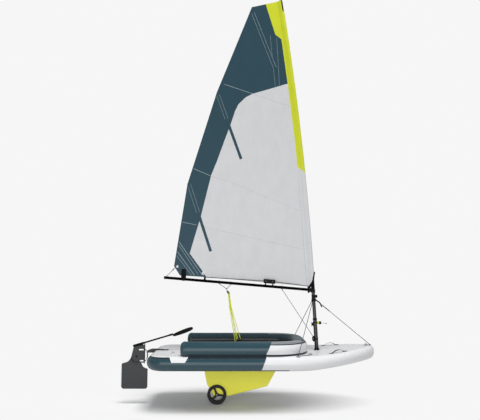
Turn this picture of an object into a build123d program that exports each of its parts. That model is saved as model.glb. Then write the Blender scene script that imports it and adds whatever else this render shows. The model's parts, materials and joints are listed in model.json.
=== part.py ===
from build123d import *
import math
import os

# Sailing dinghy with a flat inflatable hull, millimetres.
# X forward, Y to port, Z up, z = 0 at the waterline, x = 0 at mid length.

# Hull board
HULL_LENGTH = 3600.0
HULL_BEAM = 1560.0
HULL_DEPTH = 220.0
HULL_DRAUGHT = 60.0
STERN_CORNER_R = 280.0
BOW_LENGTH = 1600.0
BOW_POWER = 2.4
BOW_FULLNESS = 0.85
NOSE_ROUND = 95.0
DECK_RISE_BEFORE_BOW = 840.0
DECK_RISE_BLEND = 200.0
DECK_RISE_SLOPE = 0.105
KEEL_RISE_BEFORE_BOW = 1100.0
KEEL_RISE_BLEND = 120.0
KEEL_RISE_SLOPE = 0.104
SHOULDER_STEPS = 6
RISE_STEPS = 10
NOSE_STEPS = 6
NOSE_END_ANGLE = 80.0

# Cockpit ring
RING_R = 120.0
RING_INSET = 175.0
RING_CENTRE_ABOVE_DECK = 88.0
RING_FRONT_BEHIND_BOW = 1220.0
RING_CORNER_R = 410.0
RING_CORNER_STEPS = 8
RING_BEFORE_STERN = 585.0
RING_DOME_DEPTH = 60.0
RING_DOME_STEPS = 4
RING_COLOUR_LOW_BEHIND_FRONT = 573.0
RING_COLOUR_HIGH_BEHIND_FRONT = 472.0

# Fin and its wheels
FIN_THICKNESS = 45.0
FIN_TOP_AFT = -972.0
FIN_TOP_FORE = 267.0
FIN_FORE_RAKE = 197.0
FIN_FORE_DEPTH = 349.0
FIN_AFT_RAKE = 66.0
FIN_AFT_DEPTH = 320.0
FIN_LOW_FORE = 201.0
FIN_LOW_FORE_DEPTH = 500.0
FIN_LOW_AFT = 45.0
FIN_LOW_AFT_DEPTH = 508.0
FIN_CORNER_R = 40.0
FIN_EDGE_R = 14.0
WHEEL_X = -745.0
WHEEL_BELOW_HULL = 476.0
WHEEL_R = 154.0
TYRE_RADIAL = 38.0
TYRE_SHOULDER = 10.0
WHEEL_WIDTH = 38.0
WHEEL_SIDE_GAP = 8.0
HUB_R = 31.0
HUB_INSET = 2.0
SPOKE_WIDTH = 34.0
SPOKE_THICKNESS = 16.0
SPOKE_COUNT = 3
SPOKE_TURN = 111.0
AXLE_R = 10.0
AXLE_GAP = 0.4

# Mast
MAST_BEHIND_BOW = 925.0
MAST_RAKE = 2.85
MAST_R = 28.5
MAST_LOWER_R = 32.0
MAST_FOOT_GAP = 6.0
MAST_JOINT_UP = 480.0
MAST_RING_HEIGHT = 26.0
MAST_RING_RIM = 3.0
MAST_STRAIGHT = 900.0
MAST_BEND_R = 52000.0
MAST_BEND_LENGTH = 5060.0
MAST_END_LENGTH = 210.0
COLLAR_UP = 806.0
COLLAR_HEIGHT = 44.0
COLLAR_WALL = 8.0
BEARING_GAP = 0.5
SEAT_GAP = 0.3
STEP_PLATE_R = 48.0
STEP_PLATE_THICKNESS = 8.0
STEP_CUP_WALL = 6.0
STEP_CUP_HEIGHT = 34.0
MAST_CLEAT_UP = 412.0
MAST_CLEAT_DEPTH = 36.0
MAST_CLEAT_WIDTH = 24.0
MAST_CLEAT_HEIGHT = 62.0
MAST_BLOCK_UP = 178.0
MAST_BLOCK_DEPTH = 44.0
MAST_BLOCK_WIDTH = 26.0
MAST_BLOCK_HEIGHT = 74.0
FRONT_FITTING_ABOVE = 46.0
FRONT_FITTING_DEPTH = 44.0
FRONT_FITTING_WIDTH = 26.0
FRONT_FITTING_HEIGHT = 36.0
VANE_UP = 440.0
VANE_REACH = 182.0
VANE_DROP = 16.0
VANE_ROD_R = 2.5
VANE_BODY_START = 32.0
VANE_BODY_END = 90.0
VANE_BODY_R = 15.0
VANE_WEIGHT = 8.0

# Stays
STAY_R = 3.0
STAY_LUG_R = 6.0
STAY_LUG_LENGTH = 46.0
STAY_STUB_LENGTH = 60.0
SHROUD_FOOT_BEHIND_MAST = 370.0
SHROUD_EDGE_ANGLE = 75.7
SHROUD_FOOT_LIFT = 12.0
PATCH_R = 38.0
PATCH_THICKNESS = 6.0
FORESTAY_BEFORE_BOW = 88.0
FORESTAY_FOOT_LIFT = 29.0
TURNBUCKLE_START = 110.0
TURNBUCKLE_LENGTH = 120.0
TURNBUCKLE_R = 7.0
BOW_PLATE_LENGTH = 110.0
BOW_PLATE_WIDTH = 46.0
BOW_PLATE_THICKNESS = 6.0
BOW_PLATE_BEFORE_BOW = 100.0
BOW_TAB_THICKNESS = 6.0
BOW_TAB_DEPTH = 60.0
EYE_R = 7.0
EYE_WALL = 14.0
EYE_BEFORE_BOW = 128.0
EYE_LIFT = 21.0

# Boom and sail, with places measured aft from the mast's foot
BOOM_R = 22.5
BOOM_FORE = 111.0
BOOM_FORE_Z = 1129.0
BOOM_AFT = 2478.0
BOOM_AFT_Z = 1327.0
BOOM_CAP = 22.0
BOOM_CAP_WALL = 1.5
GOOSENECK_DROP = 20.0
GOOSENECK_BAND = 50.0
GOOSENECK_WALL = 6.0
TOGGLE_R = 11.0
TOGGLE_LENGTH = 62.0
PLUG_LENGTH = 12.0
CLEW_STRAP_BEFORE_END = 300.5
CLEW_STRAP_WIDTH = 75.0
CLEW_STRAP_THICKNESS = 4.0
OUTHAUL_AFT = 771.0
OUTHAUL_LENGTH = 200.0
OUTHAUL_WIDTH = 34.0
OUTHAUL_RISE = 44.0
OUTHAUL_FORE_RISE = 20.0
SLEEVE_R = 33.0
SLEEVE_TAIL = 62.0
SLEEVE_TAIL_HALF = 4.0
SLEEVE_SHOULDER = 14.0
SLEEVE_LAP = 1.0
SLEEVE_START = 1040.0
SLEEVE_FRONT_TOP = 5760.0
SAIL_THICKNESS = 3.0
SAIL_DRAFT = 60.0
CLEW_BEFORE_END = 141.0
CLEW_Z = 1517.0
LEECH_MID_AFT = 2132.0
LEECH_MID_Z = 2892.0
LEECH_UPPER_AFT = 1646.0
LEECH_UPPER_Z = 4486.0
HEAD_AFT = 1041.0
HEAD_Z = 6006.0
FOOT_AFT_BEFORE_END = 241.0
FOOT_AFT_Z = 1363.0
FOOT_MID_BEFORE_END = 670.0
FOOT_MID_Z = 1334.0
TACK_AFT = 145.0
TACK_Z = 1186.0
TACK_CUT_AFT = 24.0
TACK_CUT_Z = 1418.0
TACK_CUT_TURN = 24.0
SAIL_OVERRUN = 800.0
SAIL_ARC_SHARE = 0.62
SAIL_TRIM_REACH = 400.0

# Rudder, with places measured aft from the pintle and up from the deck
PINTLE_BEHIND_STERN = 125.0
PINTLE_R = 5.0
PINTLE_END = 12.0
CHEEK_THICKNESS = 5.0
CHEEK_FRONT = 6.0
CHEEK_TOP_AFT = 173.0
CHEEK_TOP_AFT_UP = 50.0
CHEEK_TOP_FORE_UP = 86.0
CHEEK_WIDEST = 207.0
CHEEK_WIDEST_UP = -90.0
CHEEK_LOW_UP = -200.0
WEB_AFT = 15.0
ROOF_UP = 24.0
HOUSING_R = 13.0
SLOT_DEPTH = 92.0
SLOT_HEIGHT = 26.0
SLOT_UPPER_UP = 4.0
SLOT_LOWER_UP = -172.0
BLADE_THICKNESS = 22.0
BLADE_GAP = 1.5
BLADE_PIVOT_AFT = 125.0
BLADE_PIVOT_UP = -100.0
BLADE_PIVOT_R = 6.0
BLADE_PIVOT_GAP = 0.3
BLADE_BOLT_END = 4.0
BLADE_HEAD_R = 80.0
BLADE_FORE = -56.0
BLADE_AFT = 365.0
BLADE_NECK_TURN = 22.0
BLADE_THROAT_AFT = 40.0
BLADE_THROAT_BELOW = 20.0
BLADE_BREAST_AFT = 18.0
BLADE_BREAST_UP = -272.0
BLADE_FORE_ROUND = 36.0
BLADE_SHOULDER_UP = -298.0
BLADE_BACK_AFT = 265.0
BLADE_BACK_UP = -182.0
BLADE_HEEL = 10.0
BLADE_AFT_UP = -226.0
BLADE_AFT_ROUND = 25.0
BLADE_LOW_UP = -613.0
BLADE_FORE_CUT = 25.0
BLADE_AFT_CUT = 28.0
KNUCKLE_R = 14.0
KNUCKLE_HEIGHT = 18.0
ARM_WIDTH = 18.0
ARM_REACH = 60.0
ARM_BAND = 17.0
BRACKET_LENGTH = 267.0
BRACKET_WIDTH = 90.0
BRACKET_HEAD_WIDTH = 44.0
BRACKET_RISE = 20.0
TILLER_R = 13.0
TILLER_AFT_UP = 66.0
TILLER_FORE = 457.0
TILLER_FORE_UP = 251.0
TILLER_SADDLE_WIDTH = 24.0
HANDLE_LOOP_FORE = 784.0
HANDLE_LOOP_AFT_UP = 230.0
HANDLE_LOOP_FORE_UP = 352.0
HANDLE_LOOP_DEPTH = 57.0
HANDLE_LOOP_WIDTH = 24.0
HANDLE_LIMB = 21.0

# Deck gear
HANDLE_LENGTH = 288.0
HANDLE_RISE = 40.0
HANDLE_WIDTH = 38.0
HANDLE_THICKNESS = 4.0
HANDLE_SINK = 12.0
HANDLE_BEFORE_BOW = 650.0
HANDLE_INSET = 179.0
HANDLE_TOE_IN = 18.6
HANDLE_FOOT = 46.0
MAT_THICKNESS = 6.0
MAT_BEFORE_STERN = 500.0
MAT_BEHIND_RING_FRONT = 180.0
MAT_TO_RING = 45.0
MAT_CORNER_R = 90.0
SHEET_BASE_BEHIND_RING_FRONT = 972.0
SHEET_PLATE_R = 45.0
SHEET_PLATE_HEIGHT = 10.0
SHEET_POST_R = 16.0
SHEET_POST_TOP_R = 9.0
SHEET_POST_HEIGHT = 128.0
SHEET_BLOCK_R = 28.0
SHEET_BLOCK_WIDTH = 22.0

# Derived places
KEEL = -HULL_DRAUGHT
DECK = HULL_DEPTH - HULL_DRAUGHT
BOW = HULL_LENGTH / 2
STERN = -HULL_LENGTH / 2
BOW_START = BOW - BOW_LENGTH
EDGE_R = HULL_DEPTH / 2
EDGE_CENTRE_Z = (DECK + KEEL) / 2
DECK_RISE_START = BOW - DECK_RISE_BEFORE_BOW
KEEL_RISE_START = BOW - KEEL_RISE_BEFORE_BOW
RING_Z = DECK + RING_CENTRE_ABOVE_DECK
RING_FRONT_CENTRE = BOW - RING_FRONT_BEHIND_BOW
RING_HALF_SPACING = HULL_BEAM / 2 - RING_INSET
RING_AFT_END = STERN + RING_BEFORE_STERN
WHEEL_Z = KEEL - WHEEL_BELOW_HULL
PINTLE_X = STERN - PINTLE_BEHIND_STERN
BLADE_PIVOT_X = PINTLE_X - BLADE_PIVOT_AFT
BLADE_PIVOT_Z = DECK + BLADE_PIVOT_UP
EYE_X = BOW - EYE_BEFORE_BOW
MAST_X = BOW - MAST_BEHIND_BOW
SHROUD_FOOT_X = MAST_X - SHROUD_FOOT_BEHIND_MAST
BOOM_FORE_X = MAST_X - BOOM_FORE
BOOM_AFT_X = MAST_X - BOOM_AFT
CLEW_STRAP_X = BOOM_AFT_X + CLEW_STRAP_BEFORE_END
OUTHAUL_X = MAST_X - OUTHAUL_AFT
CLEW_X = BOOM_AFT_X + CLEW_BEFORE_END
LEECH_MID_X = MAST_X - LEECH_MID_AFT
LEECH_UPPER_X = MAST_X - LEECH_UPPER_AFT
HEAD_X = MAST_X - HEAD_AFT
FOOT_AFT_X = BOOM_AFT_X + FOOT_AFT_BEFORE_END
FOOT_MID_X = BOOM_AFT_X + FOOT_MID_BEFORE_END
TACK_X = MAST_X - TACK_AFT
TACK_CUT_X = MAST_X - TACK_CUT_AFT
MAT_AFT = STERN + MAT_BEFORE_STERN
MAT_FORE = RING_FRONT_CENTRE - MAT_BEHIND_RING_FRONT
SHEET_BASE_X = RING_FRONT_CENTRE - SHEET_BASE_BEHIND_RING_FRONT
BIG = 8000.0


def soft_rise(x, start, blend, slope):
    """Height gained at x: level up to the blend, then a parabola, then a straight slope."""
    if x <= start - blend:
        return 0.0
    if x >= start + blend:
        return slope * (x - start)
    return slope * (x - start + blend) ** 2 / (4 * blend)


def deck_height(x):
    return DECK + soft_rise(x, DECK_RISE_START, DECK_RISE_BLEND, DECK_RISE_SLOPE)


def keel_height(x):
    return KEEL + soft_rise(x, KEEL_RISE_START, KEEL_RISE_BLEND, KEEL_RISE_SLOPE)


def flat_half_breadth(x):
    """Half breadth of the bow's flat deck, inside its round edge."""
    share = (x - BOW_START) / (BOW - BOW_START)
    return (HULL_BEAM / 2 - EDGE_R) * (1 - share ** BOW_POWER) ** BOW_FULLNESS


def bow_half_breadth(x):
    return flat_half_breadth(x) + (deck_height(x) - keel_height(x)) / 2


def hull_section(x):
    """Stadium section of the bow at x, closing in a round nose."""
    into_nose = max(0.0, x - (BOW - NOSE_ROUND)) / NOSE_ROUND
    closing = math.sqrt(1 - into_nose ** 2)
    thickness = (deck_height(x) - keel_height(x)) * closing
    middle = (deck_height(x) + keel_height(x)) / 2
    plane = Plane(origin=(x, 0, middle), x_dir=(0, 1, 0), z_dir=(1, 0, 0))
    return plane * SlotOverall(2 * flat_half_breadth(x) + thickness, thickness)


def hull_bow():
    """Bow in straight panels: the level shoulder, the rise, then the round nose."""
    level_end = DECK_RISE_START - DECK_RISE_BLEND
    nose_start = BOW - NOSE_ROUND
    nose_turns = even_steps(0, math.radians(NOSE_END_ANGLE), NOSE_STEPS)
    stations = even_steps(BOW_START, level_end, SHOULDER_STEPS)
    stations += even_steps(level_end, nose_start, RISE_STEPS)[1:]
    stations += [nose_start + NOSE_ROUND * math.sin(turn) for turn in nose_turns[1:]]
    return loft([hull_section(x) for x in stations], ruled=True)


def even_steps(start, end, steps):
    return [start + (end - start) * i / steps for i in range(steps + 1)]


def half_disc(plane):
    """Half disc of the hull's round edge, on the plane's +x side."""
    disc = Circle(EDGE_R)
    keep = Rectangle(EDGE_R * 2, EDGE_R * 4, align=(Align.MIN, Align.CENTER))
    return plane * (disc & keep)


def hull_aft():
    middle = EDGE_CENTRE_Z
    inner_half = HULL_BEAM / 2 - EDGE_R
    stern_inner = STERN + EDGE_R
    corner_x = STERN + STERN_CORNER_R
    corner_y = HULL_BEAM / 2 - STERN_CORNER_R
    inner_corner = STERN_CORNER_R - EDGE_R
    plate = Pos((BOW_START + stern_inner) / 2, 0) * Rectangle(BOW_START - stern_inner, 2 * inner_half)
    plate = fillet(plate.vertices().group_by(Axis.X)[0], inner_corner)
    aft = Pos(0, 0, KEEL) * extrude(plate, HULL_DEPTH)
    for side in (1, -1):
        along = Plane(origin=(BOW_START, side * inner_half, middle), x_dir=(0, side, 0), z_dir=(-side, 0, 0))
        length = BOW_START - corner_x
        aft += extrude(half_disc(along), amount=length * side)
        turn = Plane(origin=(corner_x, side * inner_half, middle), x_dir=(0, side, 0), z_dir=(-side, 0, 0))
        pivot = Axis((corner_x, side * corner_y, middle), (0, 0, side))
        aft += revolve(half_disc(turn), pivot, revolution_arc=90)
    across = Plane(origin=(stern_inner, -corner_y, middle), x_dir=(-1, 0, 0), z_dir=(0, 1, 0))
    aft += extrude(half_disc(across), amount=2 * corner_y)
    return aft


def make_hull():
    return hull_aft() + hull_bow()


def ring_path():
    """Centre line of the U-shaped tube: straight sides, and bends in short mitred lengths."""
    corner_x = RING_FRONT_CENTRE - RING_CORNER_R
    corner_y = RING_HALF_SPACING - RING_CORNER_R
    turns = even_steps(0, math.pi / 2, RING_CORNER_STEPS)
    bend = [(RING_CORNER_R * math.sin(turn), RING_CORNER_R * math.cos(turn)) for turn in turns]
    port = [(corner_x + x, corner_y + y) for x, y in bend]
    starboard = [(x, -y) for x, y in reversed(port)]
    ends = [(RING_AFT_END, RING_HALF_SPACING)], [(RING_AFT_END, -RING_HALF_SPACING)]
    return Polyline([(x, y, RING_Z) for x, y in ends[0] + port + starboard + ends[1]])


def ring_tube():
    """The whole tube, open at the stern, trimmed flat on the deck."""
    start = Plane(origin=(RING_AFT_END, RING_HALF_SPACING, RING_Z), z_dir=(1, 0, 0))
    tube = sweep(start * Circle(RING_R), path=ring_path(), transition=Transition.RIGHT)
    return tube - below_deck()


def below_deck():
    return Pos(0, 0, DECK) * Box(BIG, BIG, BIG, align=(Align.CENTER, Align.CENTER, Align.MAX))


def side_box(side):
    """A large block that holds one side of the boat."""
    align = Align.MIN if side > 0 else Align.MAX
    return Box(BIG, BIG, BIG, align=(Align.CENTER, align, Align.CENTER))


def colour_block():
    """Everything ahead of the slanted line where the ring turns white."""
    low = (RING_FRONT_CENTRE - RING_COLOUR_LOW_BEHIND_FRONT, DECK)
    high = (RING_FRONT_CENTRE - RING_COLOUR_HIGH_BEHIND_FRONT, RING_Z + RING_R)
    slope = (high[0] - low[0]) / (high[1] - low[1])
    start = (low[0] - slope * RING_R, low[1] - RING_R)
    end = (high[0] + slope * RING_R, high[1] + RING_R)
    points = [start, end, (BIG, end[1]), (BIG, start[1])]
    face = Plane.XZ * make_face(Polyline(points, close=True))
    return extrude(face, amount=BIG, both=True)


def ring_dome(side):
    """Rounded end of the tube, from a stepped profile turned about the tube's axis."""
    turns = even_steps(0, math.pi / 2, RING_DOME_STEPS)
    flat_r = RING_R - RING_DOME_DEPTH
    rim = [(flat_r + RING_DOME_DEPTH * math.cos(turn), RING_DOME_DEPTH * math.sin(turn)) for turn in turns]
    half = make_face(Polyline([(0, 0)] + rim + [(0, RING_DOME_DEPTH)], close=True))
    plane = Plane(origin=(RING_AFT_END, side * RING_HALF_SPACING, RING_Z), x_dir=(0, 0, 1), z_dir=(0, 1, 0))
    return revolve(plane * half, Axis(plane.origin, plane.y_dir)) - below_deck()


def fin_outline():
    """Side outline of the fin: raked leading and trailing edges and a low foot for the wheels."""
    plate = make_face(Polyline(
        (FIN_TOP_AFT, KEEL),
        (FIN_TOP_FORE, KEEL),
        (FIN_TOP_FORE - FIN_FORE_RAKE, KEEL - FIN_FORE_DEPTH),
        (WHEEL_X + FIN_LOW_FORE, KEEL - FIN_LOW_FORE_DEPTH),
        (WHEEL_X - FIN_LOW_AFT, KEEL - FIN_LOW_AFT_DEPTH),
        (FIN_TOP_AFT + FIN_AFT_RAKE, KEEL - FIN_AFT_DEPTH),
        close=True,
    ))
    return fillet(plate.vertices().sort_by(Axis.Y)[0:4], FIN_CORNER_R)


def make_fin():
    fin = extrude(Plane.XZ * fin_outline(), amount=FIN_THICKNESS / 2, both=True)
    rims = fin.edges().filter_by(lambda e: abs(abs(e.center().Y) - FIN_THICKNESS / 2) < SEAT_GAP)
    fin = fillet(rims.filter_by(lambda e: e.center().Z < KEEL - SEAT_GAP), FIN_EDGE_R)
    bore = Pos(WHEEL_X, 0, WHEEL_Z) * Rot(90, 0, 0) * Cylinder(AXLE_R + AXLE_GAP, 4 * FIN_THICKNESS)
    return fin - bore


def wheel_middle(side):
    return side * (FIN_THICKNESS / 2 + WHEEL_SIDE_GAP + WHEEL_WIDTH / 2)


def make_tyre(side):
    ring = Cylinder(WHEEL_R, WHEEL_WIDTH) - Cylinder(WHEEL_R - TYRE_RADIAL, WHEEL_WIDTH)
    ring = chamfer(ring.edges().filter_by(GeomType.CIRCLE).group_by(SortBy.RADIUS)[-1], TYRE_SHOULDER)
    return Pos(WHEEL_X, wheel_middle(side), WHEEL_Z) * Rot(90, 0, 0) * ring


def make_hub(side):
    hub = Cylinder(HUB_R, WHEEL_WIDTH - 2 * HUB_INSET)
    reach = WHEEL_R - TYRE_RADIAL
    for turn in range(SPOKE_COUNT):
        spoke = Pos(reach / 2, 0, 0) * Box(reach, SPOKE_WIDTH, SPOKE_THICKNESS)
        hub += Rot(0, 0, SPOKE_TURN + turn * 360 / SPOKE_COUNT) * spoke
    hub &= Cylinder(reach, WHEEL_WIDTH)
    hub -= Cylinder(AXLE_R, WHEEL_WIDTH * 2)
    return Pos(WHEEL_X, wheel_middle(side), WHEEL_Z) * Rot(90, 0, 0) * hub


def make_axle():
    length = 2 * (abs(wheel_middle(1)) + WHEEL_WIDTH / 2)
    return Pos(WHEEL_X, 0, WHEEL_Z) * Rot(90, 0, 0) * Cylinder(AXLE_R, length)


# Points along the mast, measured up its own line from the deck
RAKE = math.radians(MAST_RAKE)
MAST_DECK = deck_height(MAST_X)
UP = Vector(-math.sin(RAKE), 0, math.cos(RAKE))
AFT = Vector(-math.cos(RAKE), 0, -math.sin(RAKE))
MAST_ORIGIN = Vector(MAST_X, 0, MAST_DECK)
BEND_START = MAST_ORIGIN + UP * MAST_STRAIGHT
BEND_CENTRE = BEND_START + AFT * MAST_BEND_R
BEND_AXIS = Axis(BEND_CENTRE, (0, -1, 0))
MAST_LENGTH = MAST_STRAIGHT + MAST_BEND_LENGTH


def bend_degrees(length):
    return math.degrees(length / MAST_BEND_R)


def mast_plane(up):
    """Plane across the mast at a height along it; local x points aft."""
    if up <= MAST_STRAIGHT:
        return Plane(origin=MAST_ORIGIN + UP * up, x_dir=AFT, z_dir=UP)
    turn = math.radians(bend_degrees(up - MAST_STRAIGHT)) + RAKE
    aft = Vector(-math.cos(turn), 0, -math.sin(turn))
    along = Vector(-math.sin(turn), 0, math.cos(turn))
    return Plane(origin=BEND_CENTRE - aft * MAST_BEND_R, x_dir=aft, z_dir=along)


def mast_tube(radius, start, end):
    """Round bar that follows the mast between two heights along it."""
    bar = None
    if start < MAST_STRAIGHT:
        stop = min(end, MAST_STRAIGHT)
        bar = extrude(mast_plane(start) * Circle(radius), amount=stop - start)
    if end > MAST_STRAIGHT:
        first = max(start, MAST_STRAIGHT)
        curved = revolve(mast_plane(first) * Circle(radius), BEND_AXIS, bend_degrees(end - first))
        bar = curved if bar is None else bar + curved
    return bar


def make_mast_lower():
    return mast_tube(MAST_LOWER_R, MAST_FOOT_GAP + STEP_PLATE_THICKNESS, MAST_JOINT_UP)


def make_mast_ring():
    return mast_tube(MAST_LOWER_R + MAST_RING_RIM, MAST_JOINT_UP, MAST_JOINT_UP + MAST_RING_HEIGHT)


def make_mast_upper():
    return mast_tube(MAST_R, MAST_JOINT_UP + MAST_RING_HEIGHT, MAST_LENGTH - MAST_END_LENGTH)


def make_mast_end():
    return mast_tube(MAST_R, MAST_LENGTH - MAST_END_LENGTH, MAST_LENGTH)


def make_mast_step(hull):
    plate = mast_plane(0) * Cylinder(STEP_PLATE_R, 3 * STEP_PLATE_THICKNESS)
    above = Box(BIG, BIG, BIG, align=(Align.CENTER, Align.CENTER, Align.MIN))
    plate -= mast_plane(STEP_PLATE_THICKNESS) * above
    inner = MAST_LOWER_R + BEARING_GAP
    cup = mast_tube(inner + STEP_CUP_WALL, STEP_PLATE_THICKNESS, STEP_CUP_HEIGHT)
    cup -= mast_tube(inner, STEP_PLATE_THICKNESS, STEP_CUP_HEIGHT + 1)
    return (plate + cup) - hull


def lug_root(foot):
    """Middle of the collar's wall on the side that faces a stay's foot."""
    middle = mast_plane(COLLAR_UP).origin
    out = Vector(foot.X - middle.X, foot.Y - middle.Y, 0).normalized()
    return middle + out * (MAST_R + BEARING_GAP + COLLAR_WALL / 2)


def shroud_out(side):
    """Direction out of the hull's round edge where a shroud is made fast."""
    angle = math.radians(SHROUD_EDGE_ANGLE)
    return Vector(0, side * math.cos(angle), math.sin(angle))


def shroud_foot(side):
    centre = Vector(SHROUD_FOOT_X, side * flat_half_breadth(SHROUD_FOOT_X), EDGE_CENTRE_Z)
    return centre + shroud_out(side) * (EDGE_R + SHROUD_FOOT_LIFT)


def shroud_direction(side):
    return (shroud_foot(side) - lug_root(shroud_foot(side))).normalized()


def forestay_foot():
    x = BOW - FORESTAY_BEFORE_BOW
    return Vector(x, 0, deck_height(x) + FORESTAY_FOOT_LIFT)


def forestay_direction():
    return (forestay_foot() - lug_root(forestay_foot())).normalized()


def rod(start, end, radius):
    along = end - start
    up = (Align.CENTER, Align.CENTER, Align.MIN)
    return Plane(origin=start, z_dir=along) * Cylinder(radius, along.length, align=up)


def stay_start(foot):
    """Where a stay leaves the end of its lug on the collar."""
    root = lug_root(foot)
    return root + (foot - root).normalized() * STAY_LUG_LENGTH


def make_stay_collar():
    inner = MAST_R + BEARING_GAP
    low = COLLAR_UP - COLLAR_HEIGHT / 2
    high = COLLAR_UP + COLLAR_HEIGHT / 2
    collar = mast_tube(inner + COLLAR_WALL, low, high)
    for foot in (shroud_foot(1), shroud_foot(-1), forestay_foot()):
        collar += rod(lug_root(foot), stay_start(foot), STAY_LUG_R)
    return collar - mast_tube(inner, low - COLLAR_HEIGHT, high + COLLAR_HEIGHT)


def make_shroud(side):
    return rod(stay_start(shroud_foot(side)), shroud_foot(side), STAY_R)


def make_forestay():
    along = forestay_direction()
    start = stay_start(forestay_foot())
    screw_start = start + along * TURNBUCKLE_START
    screw = rod(screw_start, screw_start + along * TURNBUCKLE_LENGTH, TURNBUCKLE_R)
    return rod(start, forestay_foot(), STAY_R) + screw


def make_chainplate(side, hull):
    """Reinforcing patch on the hull's round edge and the eye stub that the shroud meets."""
    foot = shroud_foot(side)
    out = shroud_out(side)
    patch = Plane(origin=foot - out * SHROUD_FOOT_LIFT, z_dir=out) * Cylinder(PATCH_R, 2 * PATCH_THICKNESS)
    stub = rod(foot, foot + shroud_direction(side) * STAY_STUB_LENGTH, STAY_LUG_R)
    return (patch + stub) - hull


def make_bow_plate(hull):
    """Deck plate with the forestay's stub and an upright tab for the tow eye."""
    x = BOW - BOW_PLATE_BEFORE_BOW
    plate = Pos(x, 0, deck_height(x)) * Box(BOW_PLATE_LENGTH, BOW_PLATE_WIDTH, 2 * BOW_PLATE_THICKNESS)
    foot = forestay_foot()
    plate += rod(foot, foot + forestay_direction() * STAY_STUB_LENGTH, STAY_LUG_R)
    eye_z = deck_height(EYE_X) + EYE_LIFT
    tab = Box(2 * EYE_WALL, BOW_TAB_THICKNESS, BOW_TAB_DEPTH, align=(Align.CENTER, Align.CENTER, Align.MAX))
    plate += Pos(EYE_X, 0, eye_z + EYE_WALL) * tab
    plate -= Pos(EYE_X, 0, eye_z) * Rot(90, 0, 0) * Cylinder(EYE_R, BOW_PLATE_WIDTH)
    return plate - hull


def handle_profile():
    """Side view of a webbing handle: an arched strap with two flat feet."""
    half = HANDLE_LENGTH / 2
    span = half - HANDLE_FOOT
    inner_span = span - HANDLE_THICKNESS
    return make_face([
        ThreePointArc((-span, HANDLE_THICKNESS), (0, HANDLE_RISE), (span, HANDLE_THICKNESS)),
        Line((span, HANDLE_THICKNESS), (half, HANDLE_THICKNESS)),
        Line((half, HANDLE_THICKNESS), (half, -HANDLE_SINK)),
        Line((half, -HANDLE_SINK), (inner_span, -HANDLE_SINK)),
        Line((inner_span, -HANDLE_SINK), (inner_span, 0)),
        ThreePointArc((inner_span, 0), (0, HANDLE_RISE - HANDLE_THICKNESS), (-inner_span, 0)),
        Line((-inner_span, 0), (-inner_span, -HANDLE_SINK)),
        Line((-inner_span, -HANDLE_SINK), (-half, -HANDLE_SINK)),
        Line((-half, -HANDLE_SINK), (-half, HANDLE_THICKNESS)),
        Line((-half, HANDLE_THICKNESS), (-span, HANDLE_THICKNESS)),
    ])


def make_handle(side, hull):
    half = HANDLE_LENGTH / 2
    x = BOW - HANDLE_BEFORE_BOW
    y = side * (bow_half_breadth(x) - HANDLE_INSET)
    slope = math.degrees(math.atan2(deck_height(x + half) - deck_height(x - half), HANDLE_LENGTH))
    strap = extrude(Plane.XZ * handle_profile(), amount=HANDLE_WIDTH / 2, both=True)
    place = Pos(x, y, deck_height(x)) * Rot(0, 0, -side * HANDLE_TOE_IN) * Rot(0, -slope, 0)
    return place * strap - hull


def make_mat():
    half_width = RING_HALF_SPACING - RING_R - MAT_TO_RING
    sheet = RectangleRounded(MAT_FORE - MAT_AFT, 2 * half_width, MAT_CORNER_R)
    return Pos((MAT_FORE + MAT_AFT) / 2, 0, DECK) * extrude(sheet, MAT_THICKNESS)


def make_sheet_base():
    """Round foot on the mat, a tapered post and the mainsheet's block on top."""
    up = (Align.CENTER, Align.CENTER, Align.MIN)
    plate = Cylinder(SHEET_PLATE_R, SHEET_PLATE_HEIGHT, align=up)
    post = Cone(SHEET_POST_R, SHEET_POST_TOP_R, SHEET_POST_HEIGHT, align=up)
    block_up = SHEET_PLATE_HEIGHT + SHEET_POST_HEIGHT + SHEET_BLOCK_R - SHEET_POST_TOP_R
    block = Pos(0, 0, block_up) * Rot(90, 0, 0) * Cylinder(SHEET_BLOCK_R, SHEET_BLOCK_WIDTH)
    column = plate + Pos(0, 0, SHEET_PLATE_HEIGHT) * post + block
    return Pos(SHEET_BASE_X, 0, DECK + MAT_THICKNESS) * column


def sleeve_profile():
    tail = Pos(SLEEVE_TAIL / 2, 0) * Rectangle(SLEEVE_TAIL, 2 * SLEEVE_TAIL_HALF)
    widest = SLEEVE_R - SLEEVE_LAP
    meet = SLEEVE_R + SLEEVE_SHOULDER
    shoulder = make_face(Polyline(
        (0, widest), (meet, SLEEVE_TAIL_HALF), (meet, -SLEEVE_TAIL_HALF), (0, -widest), close=True))
    return (Circle(SLEEVE_R) + shoulder + tail) - Circle(MAST_R + BEARING_GAP)


def make_sleeve():
    """Luff sleeve round the bent mast, cut back at the tack and open in front of the mast's end."""
    start = max(SLEEVE_START, MAST_STRAIGHT)
    length = MAST_LENGTH - start
    sleeve = revolve(mast_plane(start) * sleeve_profile(), BEND_AXIS, bend_degrees(length))
    front = mast_plane(SLEEVE_FRONT_TOP) * Box(
        BIG, BIG, BIG, align=(Align.MAX, Align.CENTER, Align.MIN))
    tack_cut = Box(BIG, BIG, BIG, align=(Align.MIN, Align.CENTER, Align.MAX))
    return sleeve - front - Pos(TACK_CUT_X, 0, TACK_CUT_Z) * Rot(0, TACK_CUT_TURN, 0) * tack_cut


def sail_front():
    """Arc along the end of the sleeve's tail."""
    low = mast_plane(SLEEVE_START)
    middle = mast_plane((SLEEVE_START + MAST_LENGTH) / 2)
    high = mast_plane(MAST_LENGTH)
    ends = [p.origin + p.x_dir * SLEEVE_TAIL for p in (low, middle, high)]
    return [(p.X, p.Z) for p in ends]


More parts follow.
